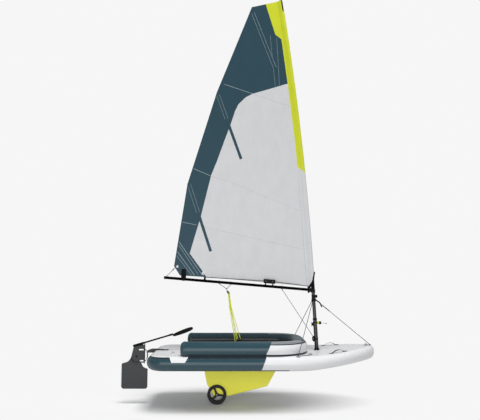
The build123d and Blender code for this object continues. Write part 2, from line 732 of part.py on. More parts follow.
def sail_outline():
    low, middle, high = sail_front()
    luff = ThreePointArc(low, middle, high)
    head = Line(high, (HEAD_X, HEAD_Z))
    leech_top = Line((HEAD_X, HEAD_Z), (LEECH_UPPER_X, LEECH_UPPER_Z))
    leech_middle = Line((LEECH_UPPER_X, LEECH_UPPER_Z), (LEECH_MID_X, LEECH_MID_Z))
    leech_low = Line((LEECH_MID_X, LEECH_MID_Z), (CLEW_X, CLEW_Z))
    clew = Line((CLEW_X, CLEW_Z), (FOOT_AFT_X, FOOT_AFT_Z))
    foot = Line((FOOT_AFT_X, FOOT_AFT_Z), (FOOT_MID_X, FOOT_MID_Z))
    foot_fore = Line((FOOT_MID_X, FOOT_MID_Z), (TACK_X, TACK_Z))
    tack = Line((TACK_X, TACK_Z), low)
    return make_face([luff, head, leech_top, leech_middle, leech_low, clew, foot, foot_fore, tack])


def make_sail():
    """Thin sheet on a large cylinder whose axis runs along the luff, trimmed to the outline."""
    low, middle, high = sail_front()
    lean = math.atan2(low[0] - high[0], high[1] - low[1])
    along = Vector(-math.sin(lean), 0, math.cos(lean))
    back = Vector(-math.cos(lean), 0, -math.sin(lean))
    base = Vector(low[0], 0, low[1])
    chord = Vector(CLEW_X - low[0], 0, CLEW_Z - low[1]).dot(back)
    radius = chord ** 2 / (8 * SAIL_DRAFT)
    centre = base + back * (chord / 2) - Vector(0, radius - SAIL_DRAFT, 0)
    plane = Plane(origin=centre - along * SAIL_OVERRUN, x_dir=(0, 1, 0), z_dir=along)
    half_angle = math.degrees(math.asin(SAIL_ARC_SHARE * chord / radius))
    outer = CenterArc((0, 0), radius + SAIL_THICKNESS / 2, -half_angle, 2 * half_angle)
    inner = CenterArc((0, 0), radius - SAIL_THICKNESS / 2, -half_angle, 2 * half_angle)
    band = make_face([outer, inner, Line(outer @ 0, inner @ 0), Line(outer @ 1, inner @ 1)])
    sheet = extrude(plane * band, amount=MAST_LENGTH)
    trim = extrude(Plane.XZ * sail_outline(), amount=SAIL_TRIM_REACH, both=True)
    return sheet & trim


def boom_point(x):
    share = (BOOM_FORE_X - x) / (BOOM_FORE_X - BOOM_AFT_X)
    return Vector(x, 0, BOOM_FORE_Z + share * (BOOM_AFT_Z - BOOM_FORE_Z))


def make_boom():
    return rod(boom_point(BOOM_FORE_X), boom_point(BOOM_AFT_X), BOOM_R)


def make_boom_cap():
    aft = boom_point(BOOM_AFT_X)
    return rod(aft, boom_point(BOOM_AFT_X - BOOM_CAP), BOOM_R + BOOM_CAP_WALL)


def bored_for_mast(piece, up, radius):
    """Cuts the mast's room out of a short piece that sits at a height along the mast."""
    return piece - mast_plane(up) * Cylinder(radius + SEAT_GAP, 4 * GOOSENECK_BAND)


def make_gooseneck():
    """Band round the mast with a toggle that carries the boom's front end."""
    up = (BOOM_FORE_Z - MAST_DECK) / math.cos(RAKE)
    fore = boom_point(BOOM_FORE_X)
    band = mast_plane(up - GOOSENECK_DROP) * Cylinder(MAST_R + GOOSENECK_WALL, GOOSENECK_BAND)
    toggle = rod(boom_point(BOOM_FORE_X + TOGGLE_LENGTH), fore, TOGGLE_R)
    plug = rod(boom_point(BOOM_FORE_X + PLUG_LENGTH), fore, BOOM_R - SEAT_GAP)
    return bored_for_mast(band + toggle + plug, up, MAST_R)


def make_clew_strap():
    fore = boom_point(CLEW_STRAP_X + CLEW_STRAP_WIDTH / 2)
    aft = boom_point(CLEW_STRAP_X - CLEW_STRAP_WIDTH / 2)
    room = rod(boom_point(CLEW_STRAP_X + CLEW_STRAP_WIDTH), boom_point(BOOM_AFT_X), BOOM_R + SEAT_GAP)
    return rod(fore, aft, BOOM_R + CLEW_STRAP_THICKNESS) - room


def make_outhaul_box():
    """Cleat and roller housing that rides on top of the boom."""
    place = boom_point(OUTHAUL_X)
    slope = math.degrees(math.atan2(BOOM_AFT_Z - BOOM_FORE_Z, BOOM_FORE_X - BOOM_AFT_X))
    side = make_face(Polyline(
        (-OUTHAUL_LENGTH / 2, 0),
        (OUTHAUL_LENGTH / 2, 0),
        (OUTHAUL_LENGTH / 2, BOOM_R + OUTHAUL_FORE_RISE),
        (OUTHAUL_LENGTH / 6, BOOM_R + OUTHAUL_RISE),
        (-OUTHAUL_LENGTH / 3, BOOM_R + OUTHAUL_RISE),
        (-OUTHAUL_LENGTH / 2, BOOM_R + OUTHAUL_FORE_RISE),
        close=True,
    ))
    housing = Pos(place.X, 0, place.Z) * Rot(0, slope, 0) * extrude(
        Plane.XZ * side, amount=OUTHAUL_WIDTH / 2, both=True)
    return housing - rod(boom_point(BOOM_FORE_X), boom_point(BOOM_AFT_X), BOOM_R + SEAT_GAP)


def make_mast_cleat():
    cleat = Pos(MAST_LOWER_R, 0, 0) * Box(MAST_CLEAT_DEPTH, MAST_CLEAT_WIDTH, MAST_CLEAT_HEIGHT)
    return bored_for_mast(mast_plane(MAST_CLEAT_UP) * cleat, MAST_CLEAT_UP, MAST_LOWER_R)


def make_mast_block():
    block = Box(MAST_BLOCK_DEPTH, MAST_BLOCK_WIDTH, MAST_BLOCK_HEIGHT)
    aft = mast_plane(MAST_BLOCK_UP) * Pos(MAST_LOWER_R + MAST_BLOCK_DEPTH / 8, 0, 0)
    return bored_for_mast(aft * block, MAST_BLOCK_UP, MAST_LOWER_R)


def make_front_fitting():
    up = COLLAR_UP + FRONT_FITTING_ABOVE
    fitting = Box(FRONT_FITTING_DEPTH, FRONT_FITTING_WIDTH, FRONT_FITTING_HEIGHT)
    fore = mast_plane(up) * Pos(-MAST_R - FRONT_FITTING_DEPTH / 6, 0, 0)
    return bored_for_mast(fore * fitting, up, MAST_R)


def make_wind_indicator():
    """Small vane on a rod ahead of the mast, with a counterweight at its tip."""
    stem = mast_plane(VANE_UP).origin
    tip = stem + Vector(VANE_REACH, 0, -VANE_DROP)
    along = (tip - stem).normalized()
    body = rod(stem + along * VANE_BODY_START, stem + along * VANE_BODY_END, VANE_BODY_R)
    weight = rod(tip - along * VANE_WEIGHT, tip + along * VANE_WEIGHT, VANE_WEIGHT)
    weight = chamfer(weight.edges().filter_by(GeomType.CIRCLE), VANE_WEIGHT / 3)
    return bored_for_mast(rod(stem, tip, VANE_ROD_R) + body + weight, VANE_UP, MAST_LOWER_R)


def side_face(points):
    """Flat outline on the centre plane from places aft of the pintle and up from the deck."""
    return make_face(Polyline([rudder_place(*point) for point in points], close=True))


def rudder_place(aft, up):
    return (PINTLE_X - aft, DECK + up)


def slab(face, width):
    return extrude(Plane.XZ * face, amount=width / 2, both=True)


def cheek_outline():
    """Side outline of the rudder stock."""
    top_fore = rudder_place(-CHEEK_FRONT, CHEEK_TOP_FORE_UP)
    top_aft = rudder_place(CHEEK_TOP_AFT, CHEEK_TOP_AFT_UP)
    widest = rudder_place(CHEEK_WIDEST, CHEEK_WIDEST_UP)
    low_aft = rudder_place(SLOT_DEPTH, CHEEK_LOW_UP)
    low_fore = rudder_place(-CHEEK_FRONT, CHEEK_LOW_UP)
    belly = rudder_place((CHEEK_WIDEST + SLOT_DEPTH) / 2, CHEEK_LOW_UP + CHEEK_FRONT * 3)
    return make_face([
        Line(top_fore, top_aft),
        Line(top_aft, widest),
        ThreePointArc(widest, belly, low_aft),
        Line(low_aft, low_fore),
        Line(low_fore, top_fore),
    ])


def knuckle_slots(height):
    """Two openings from the front, where the hinge knuckles stand."""
    slot = Box(SLOT_DEPTH + HOUSING_R, BIG, height, align=(Align.MIN, Align.CENTER, Align.CENTER))
    upper = Pos(PINTLE_X - SLOT_DEPTH, 0, DECK + SLOT_UPPER_UP) * slot
    lower = Pos(PINTLE_X - SLOT_DEPTH, 0, DECK + SLOT_LOWER_UP) * slot
    return upper + lower


def blade_room():
    """Space between the cheeks, aft of the web and under the roof."""
    width = BLADE_THICKNESS + 2 * BLADE_GAP
    corner = (Align.MAX, Align.CENTER, Align.MAX)
    return Pos(PINTLE_X - WEB_AFT, 0, DECK + ROOF_UP) * Box(BIG, width, BIG, align=corner)


def make_rudder_stock():
    """Two cheeks joined by a web and a roof, with a housing for the pintle."""
    stock = slab(cheek_outline(), BLADE_THICKNESS + 2 * (BLADE_GAP + CHEEK_THICKNESS)) - blade_room()
    low = DECK + CHEEK_LOW_UP
    housing_length = CHEEK_TOP_FORE_UP - CHEEK_LOW_UP
    stock += Pos(PINTLE_X, 0, low + housing_length / 2) * Cylinder(HOUSING_R, housing_length)
    stock -= knuckle_slots(SLOT_HEIGHT)
    stock -= Pos(PINTLE_X, 0, 0) * Cylinder(PINTLE_R, BIG)
    stock -= Pos(BLADE_PIVOT_X, 0, BLADE_PIVOT_Z) * Rot(90, 0, 0) * Cylinder(BLADE_PIVOT_R, BLADE_HEAD_R)
    return stock


def make_pintle():
    low = CHEEK_LOW_UP - PINTLE_END
    length = CHEEK_TOP_FORE_UP + PINTLE_END - low
    return Pos(PINTLE_X, 0, DECK + low + length / 2) * Cylinder(PINTLE_R, length)


def make_blade_bolt():
    width = BLADE_THICKNESS + 2 * (BLADE_GAP + CHEEK_THICKNESS + BLADE_BOLT_END)
    return Pos(BLADE_PIVOT_X, 0, BLADE_PIVOT_Z) * Rot(90, 0, 0) * Cylinder(BLADE_PIVOT_R, width)


def blade_outline():
    """Round head on the pivot, a neck below the cheeks and a broad squared-off blade."""
    turn = math.radians(BLADE_NECK_TURN)
    pivot = rudder_place(BLADE_PIVOT_AFT, BLADE_PIVOT_UP)
    neck_aft = BLADE_PIVOT_AFT - BLADE_HEAD_R * math.sin(turn)
    neck = rudder_place(neck_aft, BLADE_PIVOT_UP - BLADE_HEAD_R * math.cos(turn))
    throat = rudder_place(BLADE_THROAT_AFT, CHEEK_LOW_UP - BLADE_THROAT_BELOW)
    breast = rudder_place(BLADE_BREAST_AFT, BLADE_BREAST_UP)
    fore_top = rudder_place(BLADE_FORE + BLADE_FORE_ROUND, BLADE_SHOULDER_UP + BLADE_HEEL)
    fore_shoulder = rudder_place(BLADE_FORE, BLADE_SHOULDER_UP)
    fore_low = rudder_place(BLADE_FORE, BLADE_LOW_UP + BLADE_FORE_CUT)
    low_fore = rudder_place(BLADE_FORE + BLADE_FORE_CUT, BLADE_LOW_UP)
    low_aft = rudder_place(BLADE_AFT - BLADE_AFT_CUT, BLADE_LOW_UP)
    aft_low = rudder_place(BLADE_AFT, BLADE_LOW_UP + BLADE_AFT_CUT)
    aft_top = rudder_place(BLADE_AFT, BLADE_AFT_UP)
    corner = rudder_place(BLADE_AFT - BLADE_AFT_ROUND / 3, BLADE_AFT_UP + BLADE_AFT_ROUND / 2)
    shoulder = rudder_place(BLADE_AFT - BLADE_AFT_ROUND, BLADE_AFT_UP + BLADE_AFT_ROUND * 0.7)
    back = rudder_place(BLADE_BACK_AFT, BLADE_BACK_UP)
    heel = rudder_place(BLADE_PIVOT_AFT + BLADE_HEAD_R + BLADE_HEEL, BLADE_PIVOT_UP)
    blade = make_face([
        Line(neck, throat),
        ThreePointArc(throat, breast, fore_top),
        Line(fore_top, fore_shoulder),
        Line(fore_shoulder, fore_low),
        Line(fore_low, low_fore),
        Line(low_fore, low_aft),
        Line(low_aft, aft_low),
        Line(aft_low, aft_top),
        ThreePointArc(aft_top, corner, shoulder),
        ThreePointArc(shoulder, back, heel),
        Line(heel, pivot),
        Line(pivot, neck),
    ])
    return blade + Pos(*pivot) * Circle(BLADE_HEAD_R)


def make_blade():
    hole = Rot(90, 0, 0) * Cylinder(BLADE_PIVOT_R + BLADE_PIVOT_GAP, 2 * BLADE_THICKNESS)
    return slab(blade_outline(), BLADE_THICKNESS) - Pos(BLADE_PIVOT_X, 0, BLADE_PIVOT_Z) * hole


def tiller_point(aft, up):
    x, z = rudder_place(aft, up)
    return Vector(x, 0, z)


def make_tiller():
    """Tube on a saddle that fills the wedge above the rudder stock."""
    start = tiller_point(CHEEK_TOP_AFT, TILLER_AFT_UP)
    end = tiller_point(-TILLER_FORE, TILLER_FORE_UP)
    slope = (TILLER_FORE_UP - TILLER_AFT_UP) / (TILLER_FORE + CHEEK_TOP_AFT)
    fore = 2 * HOUSING_R
    head_slope = (CHEEK_TOP_FORE_UP - CHEEK_TOP_AFT_UP) / (CHEEK_TOP_AFT + CHEEK_FRONT)
    saddle = side_face([
        (CHEEK_TOP_AFT, CHEEK_TOP_AFT_UP),
        (CHEEK_TOP_AFT, TILLER_AFT_UP),
        (fore, TILLER_AFT_UP + slope * (CHEEK_TOP_AFT - fore)),
        (fore, CHEEK_TOP_AFT_UP + head_slope * (CHEEK_TOP_AFT - fore)),
    ])
    return rod(start, end, TILLER_R) + slab(saddle, TILLER_SADDLE_WIDTH)


def make_tiller_handle():
    """Long loop grip with two limbs, carried on the tiller's end."""
    start = tiller_point(-TILLER_FORE, HANDLE_LOOP_AFT_UP)
    end = tiller_point(-HANDLE_LOOP_FORE, HANDLE_LOOP_FORE_UP)
    length = (end - start).length
    slit_depth = HANDLE_LOOP_DEPTH - 2 * HANDLE_LIMB
    loop = SlotOverall(length, HANDLE_LOOP_DEPTH) - SlotOverall(length - 3 * HANDLE_LIMB, slit_depth)
    tilt = math.degrees(math.atan2(end.Z - start.Z, end.X - start.X))
    middle = (start + end) * 0.5
    grip = Pos(middle.X, 0, middle.Z) * Rot(0, -tilt, 0) * slab(loop, HANDLE_LOOP_WIDTH)
    aft = tiller_point(CHEEK_TOP_AFT, TILLER_AFT_UP)
    return grip - rod(aft, tiller_point(-TILLER_FORE, TILLER_FORE_UP), TILLER_R + SEAT_GAP)


def bracket_arms():
    """C-shaped band from the upper hinge knuckle round to the lower one."""
    high = DECK + SLOT_UPPER_UP
    low = DECK + SLOT_LOWER_UP
    half = KNUCKLE_HEIGHT / 2
    outer = PINTLE_X + KNUCKLE_R
    inner = PINTLE_X + 2 * KNUCKLE_R
    crown = (high + low) / 2
    return make_face([
        Line((PINTLE_X, high + half), (outer, high + half)),
        ThreePointArc((outer, high + half), (PINTLE_X + ARM_REACH, crown), (outer, low - half)),
        Line((outer, low - half), (PINTLE_X, low - half)),
        Line((PINTLE_X, low - half), (PINTLE_X, low + half)),
        Line((PINTLE_X, low + half), (inner, low + half)),
        ThreePointArc((inner, low + half), (PINTLE_X + ARM_REACH - ARM_BAND, crown), (inner, high - half)),
        Line((inner, high - half), (PINTLE_X, high - half)),
        Line((PINTLE_X, high - half), (PINTLE_X, high + half)),
    ])


def bracket_wedge():
    """Side view of the deck plate, which thickens aft and wraps over the stern's round edge."""
    aft = PINTLE_X + ARM_REACH - ARM_BAND / 2
    fore = STERN + BRACKET_LENGTH
    return make_face(Polyline(
        (fore, DECK - BRACKET_RISE),
        (fore, DECK + BRACKET_RISE / 5),
        (STERN + EDGE_R, DECK + BRACKET_RISE),
        (STERN, DECK + BRACKET_RISE),
        (aft, DECK - BRACKET_RISE / 5),
        (aft, DECK - 2 * BRACKET_RISE),
        (STERN + EDGE_R, DECK - 2 * BRACKET_RISE),
        close=True,
    ))


def make_stern_bracket(hull):
    """Plate on the deck, a head over the stern and the arm with the two hinge knuckles."""
    head = slab(bracket_wedge(), BRACKET_HEAD_WIDTH)
    plate_middle = STERN + (EDGE_R + BRACKET_LENGTH) / 2
    plate = Pos(plate_middle, 0, DECK) * Box(BRACKET_LENGTH - EDGE_R, BRACKET_WIDTH, BRACKET_RISE / 2)
    bracket = head + plate + slab(bracket_arms(), ARM_WIDTH)
    for up in (SLOT_UPPER_UP, SLOT_LOWER_UP):
        bracket += Pos(PINTLE_X, 0, DECK + up) * Cylinder(KNUCKLE_R, KNUCKLE_HEIGHT)
    bracket -= Pos(PINTLE_X, 0, 0) * Cylinder(PINTLE_R + BEARING_GAP, BIG)
    return bracket - hull


def build():
    hull = make_hull()
    ring = ring_tube()
    ahead = colour_block()
    aft_ring = ring - ahead
    parts = {
        "hull_board": hull,
        "ring_bow": ring & ahead,
        "fin": make_fin(),
        "axle": make_axle(),
        "mast_step": make_mast_step(hull),
        "stay_collar": make_stay_collar(),
        "forestay": make_forestay(),
        "bow_plate": make_bow_plate(hull),
        "cockpit_mat": make_mat(),
        "sheet_base": make_sheet_base(),
        "mast_lower": make_mast_lower(),
        "mast_ring": make_mast_ring(),
        "mast_upper": make_mast_upper(),
        "mast_end": make_mast_end(),
        "luff_sleeve": make_sleeve(),
        "sail": make_sail(),
        "boom": make_boom(),
        "boom_cap": make_boom_cap(),
        "gooseneck": make_gooseneck(),
        "clew_strap": make_clew_strap(),
        "outhaul_box": make_outhaul_box(),
        "mast_cleat": make_mast_cleat(),
        "mast_block": make_mast_block(),
        "front_fitting": make_front_fitting(),
        "wind_indicator": make_wind_indicator(),
        "rudder_stock": make_rudder_stock(),
        "pintle": make_pintle(),
        "blade_bolt": make_blade_bolt(),
        "rudder_blade": make_blade(),
        "tiller": make_tiller(),
        "tiller_handle": make_tiller_handle(),
        "stern_bracket": make_stern_bracket(hull),
    }
    for name, side in (("port", 1), ("starboard", -1)):
        parts["ring_side_" + name] = (aft_ring & side_box(side)) + ring_dome(side)
        parts["shroud_" + name] = make_shroud(side)
        parts["chainplate_" + name] = make_chainplate(side, hull)
        parts["deck_handle_" + name] = make_handle(side, hull)
        parts["tyre_" + name] = make_tyre(side)
        parts["wheel_hub_" + name] = make_hub(side)
    return parts


os.makedirs("parts", exist_ok=True)
for name, shape in build().items():
    export_step(shape, "parts/" + name + ".step")
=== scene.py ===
"""Dresses a packed inflatable sailing dinghy: coated fabric hull and tubes, laminated sail and fittings."""

from __future__ import annotations

import json
import logging
import math
from dataclasses import dataclass, field
from enum import Enum
from typing import Callable, Sequence

import bmesh
import bpy
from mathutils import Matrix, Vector

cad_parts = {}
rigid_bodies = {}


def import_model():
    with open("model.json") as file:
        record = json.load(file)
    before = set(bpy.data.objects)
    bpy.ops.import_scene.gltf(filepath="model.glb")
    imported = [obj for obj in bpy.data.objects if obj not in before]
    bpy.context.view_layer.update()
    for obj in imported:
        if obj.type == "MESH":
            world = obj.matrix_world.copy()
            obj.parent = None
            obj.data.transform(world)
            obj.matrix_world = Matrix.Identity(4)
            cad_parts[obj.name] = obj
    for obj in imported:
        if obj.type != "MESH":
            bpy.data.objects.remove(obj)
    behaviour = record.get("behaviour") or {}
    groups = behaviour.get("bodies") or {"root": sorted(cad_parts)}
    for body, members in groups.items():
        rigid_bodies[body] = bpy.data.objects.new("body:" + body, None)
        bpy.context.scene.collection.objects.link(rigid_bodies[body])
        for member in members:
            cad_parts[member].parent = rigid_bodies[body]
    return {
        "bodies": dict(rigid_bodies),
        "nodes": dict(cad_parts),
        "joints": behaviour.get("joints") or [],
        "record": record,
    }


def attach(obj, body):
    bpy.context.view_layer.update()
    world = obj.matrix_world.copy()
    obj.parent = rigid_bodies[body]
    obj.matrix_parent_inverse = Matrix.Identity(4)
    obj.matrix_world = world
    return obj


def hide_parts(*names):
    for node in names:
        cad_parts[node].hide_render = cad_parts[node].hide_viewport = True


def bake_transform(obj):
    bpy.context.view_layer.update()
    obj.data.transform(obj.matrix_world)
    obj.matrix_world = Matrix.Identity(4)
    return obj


log = logging.getLogger("dinghy")

Colour = tuple[float, float, float]
Point = tuple[float, float, float]
Pair = tuple[float, float]
Station = tuple[float, float, float, float, float, float]
Placer = Callable[[float, float, float], Vector]

SIDEWAYS = Vector((0, 1, 0))
UPWARD = Vector((0, 0, 1))
SIDES = (("port", 1), ("starboard", -1))


def display(red: int, green: int, blue: int) -> Colour:
    """Linear colour from the red, green and blue that a screen shows, 0 to 255."""
    shown = (red / 255, green / 255, blue / 255)
    return tuple(c / 12.92 if c <= 0.04045 else ((c + 0.055) / 1.055) ** 2.4 for c in shown)


def darker(colour: Colour) -> Colour:
    """Shaded form of a colour."""
    return tuple(c * 0.55 for c in colour)


PETROL = display(14, 58, 70)
PETROL_DARK = display(20, 34, 42)
# Near-black petrol painted on the cockpit tube's inner side as shade.
TUBE_INSIDE_SHADE = display(12, 28, 34)
HULL_WHITE = display(222, 223, 225)
PANEL_GREY = display(120, 126, 130)
FIN_YELLOW = display(254, 249, 72)
SOFT_BLACK = display(44, 45, 47)
STEEL = display(150, 152, 155)
PURE_WHITE = (1.0, 1.0, 1.0)


class Body(Enum):
    """The moving bodies of the boat."""

    HULL = "hull"
    RIG = "rig"
    RUDDER = "rudder"
    BLADE = "rudder_blade"
    WHEELS = "wheels"


class Number:
    """A number inside a material. Python's operators on it add Math nodes."""

    def __init__(self, paint: Paint, socket: bpy.types.NodeSocket) -> None:
        """Wraps an output socket of a material."""
        self.paint = paint
        self.socket = socket

    def math(self, operation: str, *others: Number | float) -> Number:
        """Result of a Math node on this number and others."""
        return self.paint.math(operation, self, *others)

    def __add__(self, other: Number | float) -> Number:
        """Sum."""
        return self.math("ADD", other)

    __radd__ = __add__

    def __mul__(self, other: Number | float) -> Number:
        """Product."""
        return self.math("MULTIPLY", other)

    __rmul__ = __mul__

    def __sub__(self, other: Number | float) -> Number:
        """Difference."""
        return self.math("SUBTRACT", other)

    def __rsub__(self, other: float) -> Number:
        """Difference from a plain number."""
        return self.paint.math("SUBTRACT", other, self)

    def __truediv__(self, other: Number | float) -> Number:
        """Quotient."""
        return self.math("DIVIDE", other)

    def __gt__(self, other: Number | float) -> Number:
        """1 where this number is larger, else 0."""
        return self.math("GREATER_THAN", other)

    def __lt__(self, other: Number | float) -> Number:
        """1 where this number is smaller, else 0."""
        return self.math("LESS_THAN", other)

    def __or__(self, other: Number) -> Number:
        """The larger of two masks."""
        return self.math("MAXIMUM", other)

    def __abs__(self) -> Number:
        """Size without sign."""
        return self.math("ABSOLUTE")

    def squared(self) -> Number:
        """Second power."""
        return self.math("POWER", 2.0)

    def root(self) -> Number:
        """Square root."""
        return self.math("SQRT")

    def sine(self) -> Number:
        """Sine, in radians."""
        return self.math("SINE")

    def wave(self, pitch: float) -> Number:
        """Ridges 0 to 1 that repeat every pitch metres."""
        return (self * (math.tau / pitch)).sine() * 0.5 + 0.5

    def line(self, pitch: float, width: float) -> Number:
        """1 on thin lines of a width that repeat every pitch metres."""
        return (self / pitch).math("FRACT") < width / pitch

    def between(self, low: float, high: float) -> Number:
        """1 from low to high, else 0."""
        return (self > low) * (self < high)

    def ramp(self, low: float, high: float) -> Number:
        """Smooth change from 0 at low to 1 at high."""
        smooth = {"interpolation_type": "SMOOTHSTEP"}
        return Number(
            self.paint, self.paint.node("ShaderNodeMapRange", smooth, {0: self, 1: low, 2: high}).outputs[0]
        )


class Paint:
    """One material under construction, with the nodes that this boat's finishes use."""

    def __init__(self, name: str) -> None:
        """Starts a material with an empty principled surface.

        Args:
            name: The material's name.
        """
        self.material = bpy.data.materials.new(name)
        self.material.use_nodes = True
        self.tree = self.material.node_tree
        self.surface = self.tree.nodes["Principled BSDF"]
        self.output = self.tree.nodes["Material Output"]

    def node(self, kind: str, settings: dict | None = None, inputs: dict | None = None) -> bpy.types.Node:
        """Adds a node.

        Args:
            kind: The node's type.
            settings: Its own properties, set first.
            inputs: Values or links, by input name or number.

        Returns:
            The new node.
        """
        made = self.tree.nodes.new(kind)
        for key, value in (settings or {}).items():
            setattr(made, key, value)
        for key, value in (inputs or {}).items():
            self.feed(made.inputs[key], value)
        return made

    def feed(self, target: bpy.types.NodeSocket, value: object) -> None:
        """Links or sets one input.

        Args:
            target: The input.
            value: A number in the material, a socket, or a plain value.
        """
        if isinstance(value, Number):
            self.tree.links.new(value.socket, target)
        elif isinstance(value, bpy.types.NodeSocket):
            self.tree.links.new(value, target)
        else:
            target.default_value = value

    def tint(self, target: bpy.types.NodeSocket, colour: object) -> None:
        """Links or sets one colour input."""
        self.feed(target, (*colour, 1.0) if isinstance(colour, tuple) else colour)

    def math(self, operation: str, *values: Number | float) -> Number:
        """A Math node on any mix of numbers."""
        return Number(
            self, self.node("ShaderNodeMath", {"operation": operation}, dict(enumerate(values))).outputs[0]
        )

    def place(self) -> tuple[Number, Number, Number]:
        """Position at rest in the boat's frame, in metres, as three numbers."""
        split = self.node("ShaderNodeSeparateXYZ", None, {0: self.position()})
        return tuple(Number(self, out) for out in split.outputs)

    def position(self) -> bpy.types.NodeSocket:
        """Position at rest in the boat's frame, as a vector."""
        return self.node("ShaderNodeTexCoord").outputs["Object"]

    def along(self) -> tuple[Number, Number]:
        """Across and along a strap, rope or tube, from its mapped coordinates in metres."""
        split = self.node("ShaderNodeSeparateXYZ", None, {0: self.node("ShaderNodeTexCoord").outputs["UV"]})
        return Number(self, split.outputs[0]), Number(self, split.outputs[1])

    def noise(self, scale: float, detail: float = 3.0, stretch: Point = (1, 1, 1)) -> Number:
        """Cloudy noise from 0 to 1.

        Args:
            scale: Features per metre.
            detail: Octaves.
            stretch: Scale of each axis before the noise.

        Returns:
            The noise.
        """
        spread = self.node(
            "ShaderNodeVectorMath", {"operation": "MULTIPLY"}, {0: self.position(), 1: stretch}
        )
        made = self.node(
            "ShaderNodeTexNoise", None, {0: spread.outputs[0], "Scale": scale, "Detail": detail}
        )
        return Number(self, made.outputs[0])

    def blend(self, mask: Number, first: object, second: object) -> bpy.types.NodeSocket:
        """Mix of two colours.

        Args:
            mask: 0 for the first, 1 for the second.
            first: A colour or a colour socket.
            second: A colour or a colour socket.

        Returns:
            The mixed colour's socket.
        """
        made = self.node("ShaderNodeMix", {"data_type": "RGBA"}, {0: mask})
        self.tint(made.inputs[6], first)
        self.tint(made.inputs[7], second)
        return made.outputs[2]

    def shaded(self, colour: object, amount: Number) -> bpy.types.NodeSocket:
        """Colour multiplied by a varying brightness."""
        grey = self.node("ShaderNodeCombineXYZ", None, {0: amount, 1: amount, 2: amount}).outputs[0]
        return self.node("ShaderNodeVectorMath", {"operation": "MULTIPLY"}, {0: colour, 1: grey}).outputs[0]

    def finish(
        self, colour: object, roughness: Number | float, bump: Number | None = None, depth: float = 0.0005,
        **constants: float,
    ) -> bpy.types.Material:
        """Connects the surface.

        Args:
            colour: Base colour, plain or from a socket.
            roughness: Plain or varying.
            bump: Height from 0 to 1, or None for a smooth surface.
            depth: Height of the bump in metres.
            constants: Other inputs of the surface, with underscores for spaces.

        Returns:
            The material.
        """
        self.tint(self.surface.inputs["Base Color"], colour)
        self.feed(self.surface.inputs["Roughness"], roughness)
        for key, value in constants.items():
            self.surface.inputs[key.replace("_", " ")].default_value = value
        if bump is not None:
            made = self.node("ShaderNodeBump", None, {"Strength": 1.0, "Distance": depth, "Height": bump})
            self.tree.links.new(made.outputs[0], self.surface.inputs["Normal"])
        return self.material


@dataclass(frozen=True)
class Finish:
    """What all finishes share: the material's name, and the record's slot where that has another name."""

    name: str
    slot: str = field(default="", kw_only=True)

    def paint(self) -> bpy.types.Material:
        """Builds the material."""
        return self.shade(Paint(self.name))

    def shade(self, paint: Paint) -> bpy.types.Material:
        """Builds the surface of a started material."""
        return paint.material


@dataclass(frozen=True)
class Coated(Finish):
    """Satin coated fabric with a fine woven grain and soft unevenness, plain or in panels."""

    roughness: float = field(default=0.22, kw_only=True)
    thread: float = field(default=0.0016, kw_only=True)

    def coated(self, paint: Paint, colour: object) -> bpy.types.Material:
        """Surface of coated fabric in a given colour.

        Args:
            paint: The material to finish.
            colour: Plain colour, or the socket of a patterned one.

        Returns:
            The material.
        """
        x, y, z = paint.place()
        weave = (x + y).wave(self.thread) * (z + y).wave(self.thread)
        cloudy = paint.noise(3.0, 2.0)
        base = paint.shaded(paint.blend(weave * 0.05, colour, PURE_WHITE), 0.97 + cloudy * 0.06)
        bump = weave * 0.12 + cloudy * 0.8 + paint.noise(40.0, 3.0) * 0.1
        return paint.finish(base, self.roughness + cloudy * 0.08, bump, 0.0012, Specular_IOR_Level=0.5)


@dataclass(frozen=True)
class Fabric(Coated):
    """Coated fabric of one colour."""

    colour: Colour
    roughness: float = field(default=0.32, kw_only=True)

    def shade(self, paint: Paint) -> bpy.types.Material:
        """Builds the surface."""
        return self.coated(paint, self.colour)


@dataclass(frozen=True)
class HullFabric(Coated):
    """Fabric of the hull board: white deck and bow, petrol sides with a slanted end and a white notch."""

    name: str = "hull_fabric"
    border_z: float = 0.150
    slant_low: float = -0.055
    slant_high: float = 0.023
    bottom_end: float = 0.366
    bottom_z: float = -0.036
    notch_low_z: float = 0.078
    notch: tuple[float, float, float, float] = (-1.428, -1.393, -1.192, -1.150)
    dark_band: Pair = (0.128, 0.152)
    side_y: float = 0.60
    side_end: float = -1.15

    def shade(self, paint: Paint) -> bpy.types.Material:
        """Builds the surface.

        Args:
            paint: The started material.

        Returns:
            The material.
        """
        x, y, z = paint.place()
        lean = (self.slant_high - self.slant_low) / 0.2
        aft = (x - z * lean) < self.slant_low + 0.05 * lean
        side = aft * (z < self.border_z)
        edge = aft * (abs(y) > self.side_y) * (x > self.side_end)
        rise = self.border_z - self.notch_low_z
        left = (self.notch[0] - self.notch[1]) / rise
        right = (self.notch[3] - self.notch[2]) / rise
        up = z - self.notch_low_z
        notch = (x > up * left + self.notch[1]) * (x < up * right + self.notch[2]) * (up > 0)
        bottom = (z < self.bottom_z) * (x < self.bottom_end)
        colour = paint.blend(side * (1 - notch) | bottom | edge, HULL_WHITE, PETROL)
        band = side * z.between(*self.dark_band) * (1 - notch)
        return self.coated(paint, paint.blend(band, colour, PETROL_DARK))


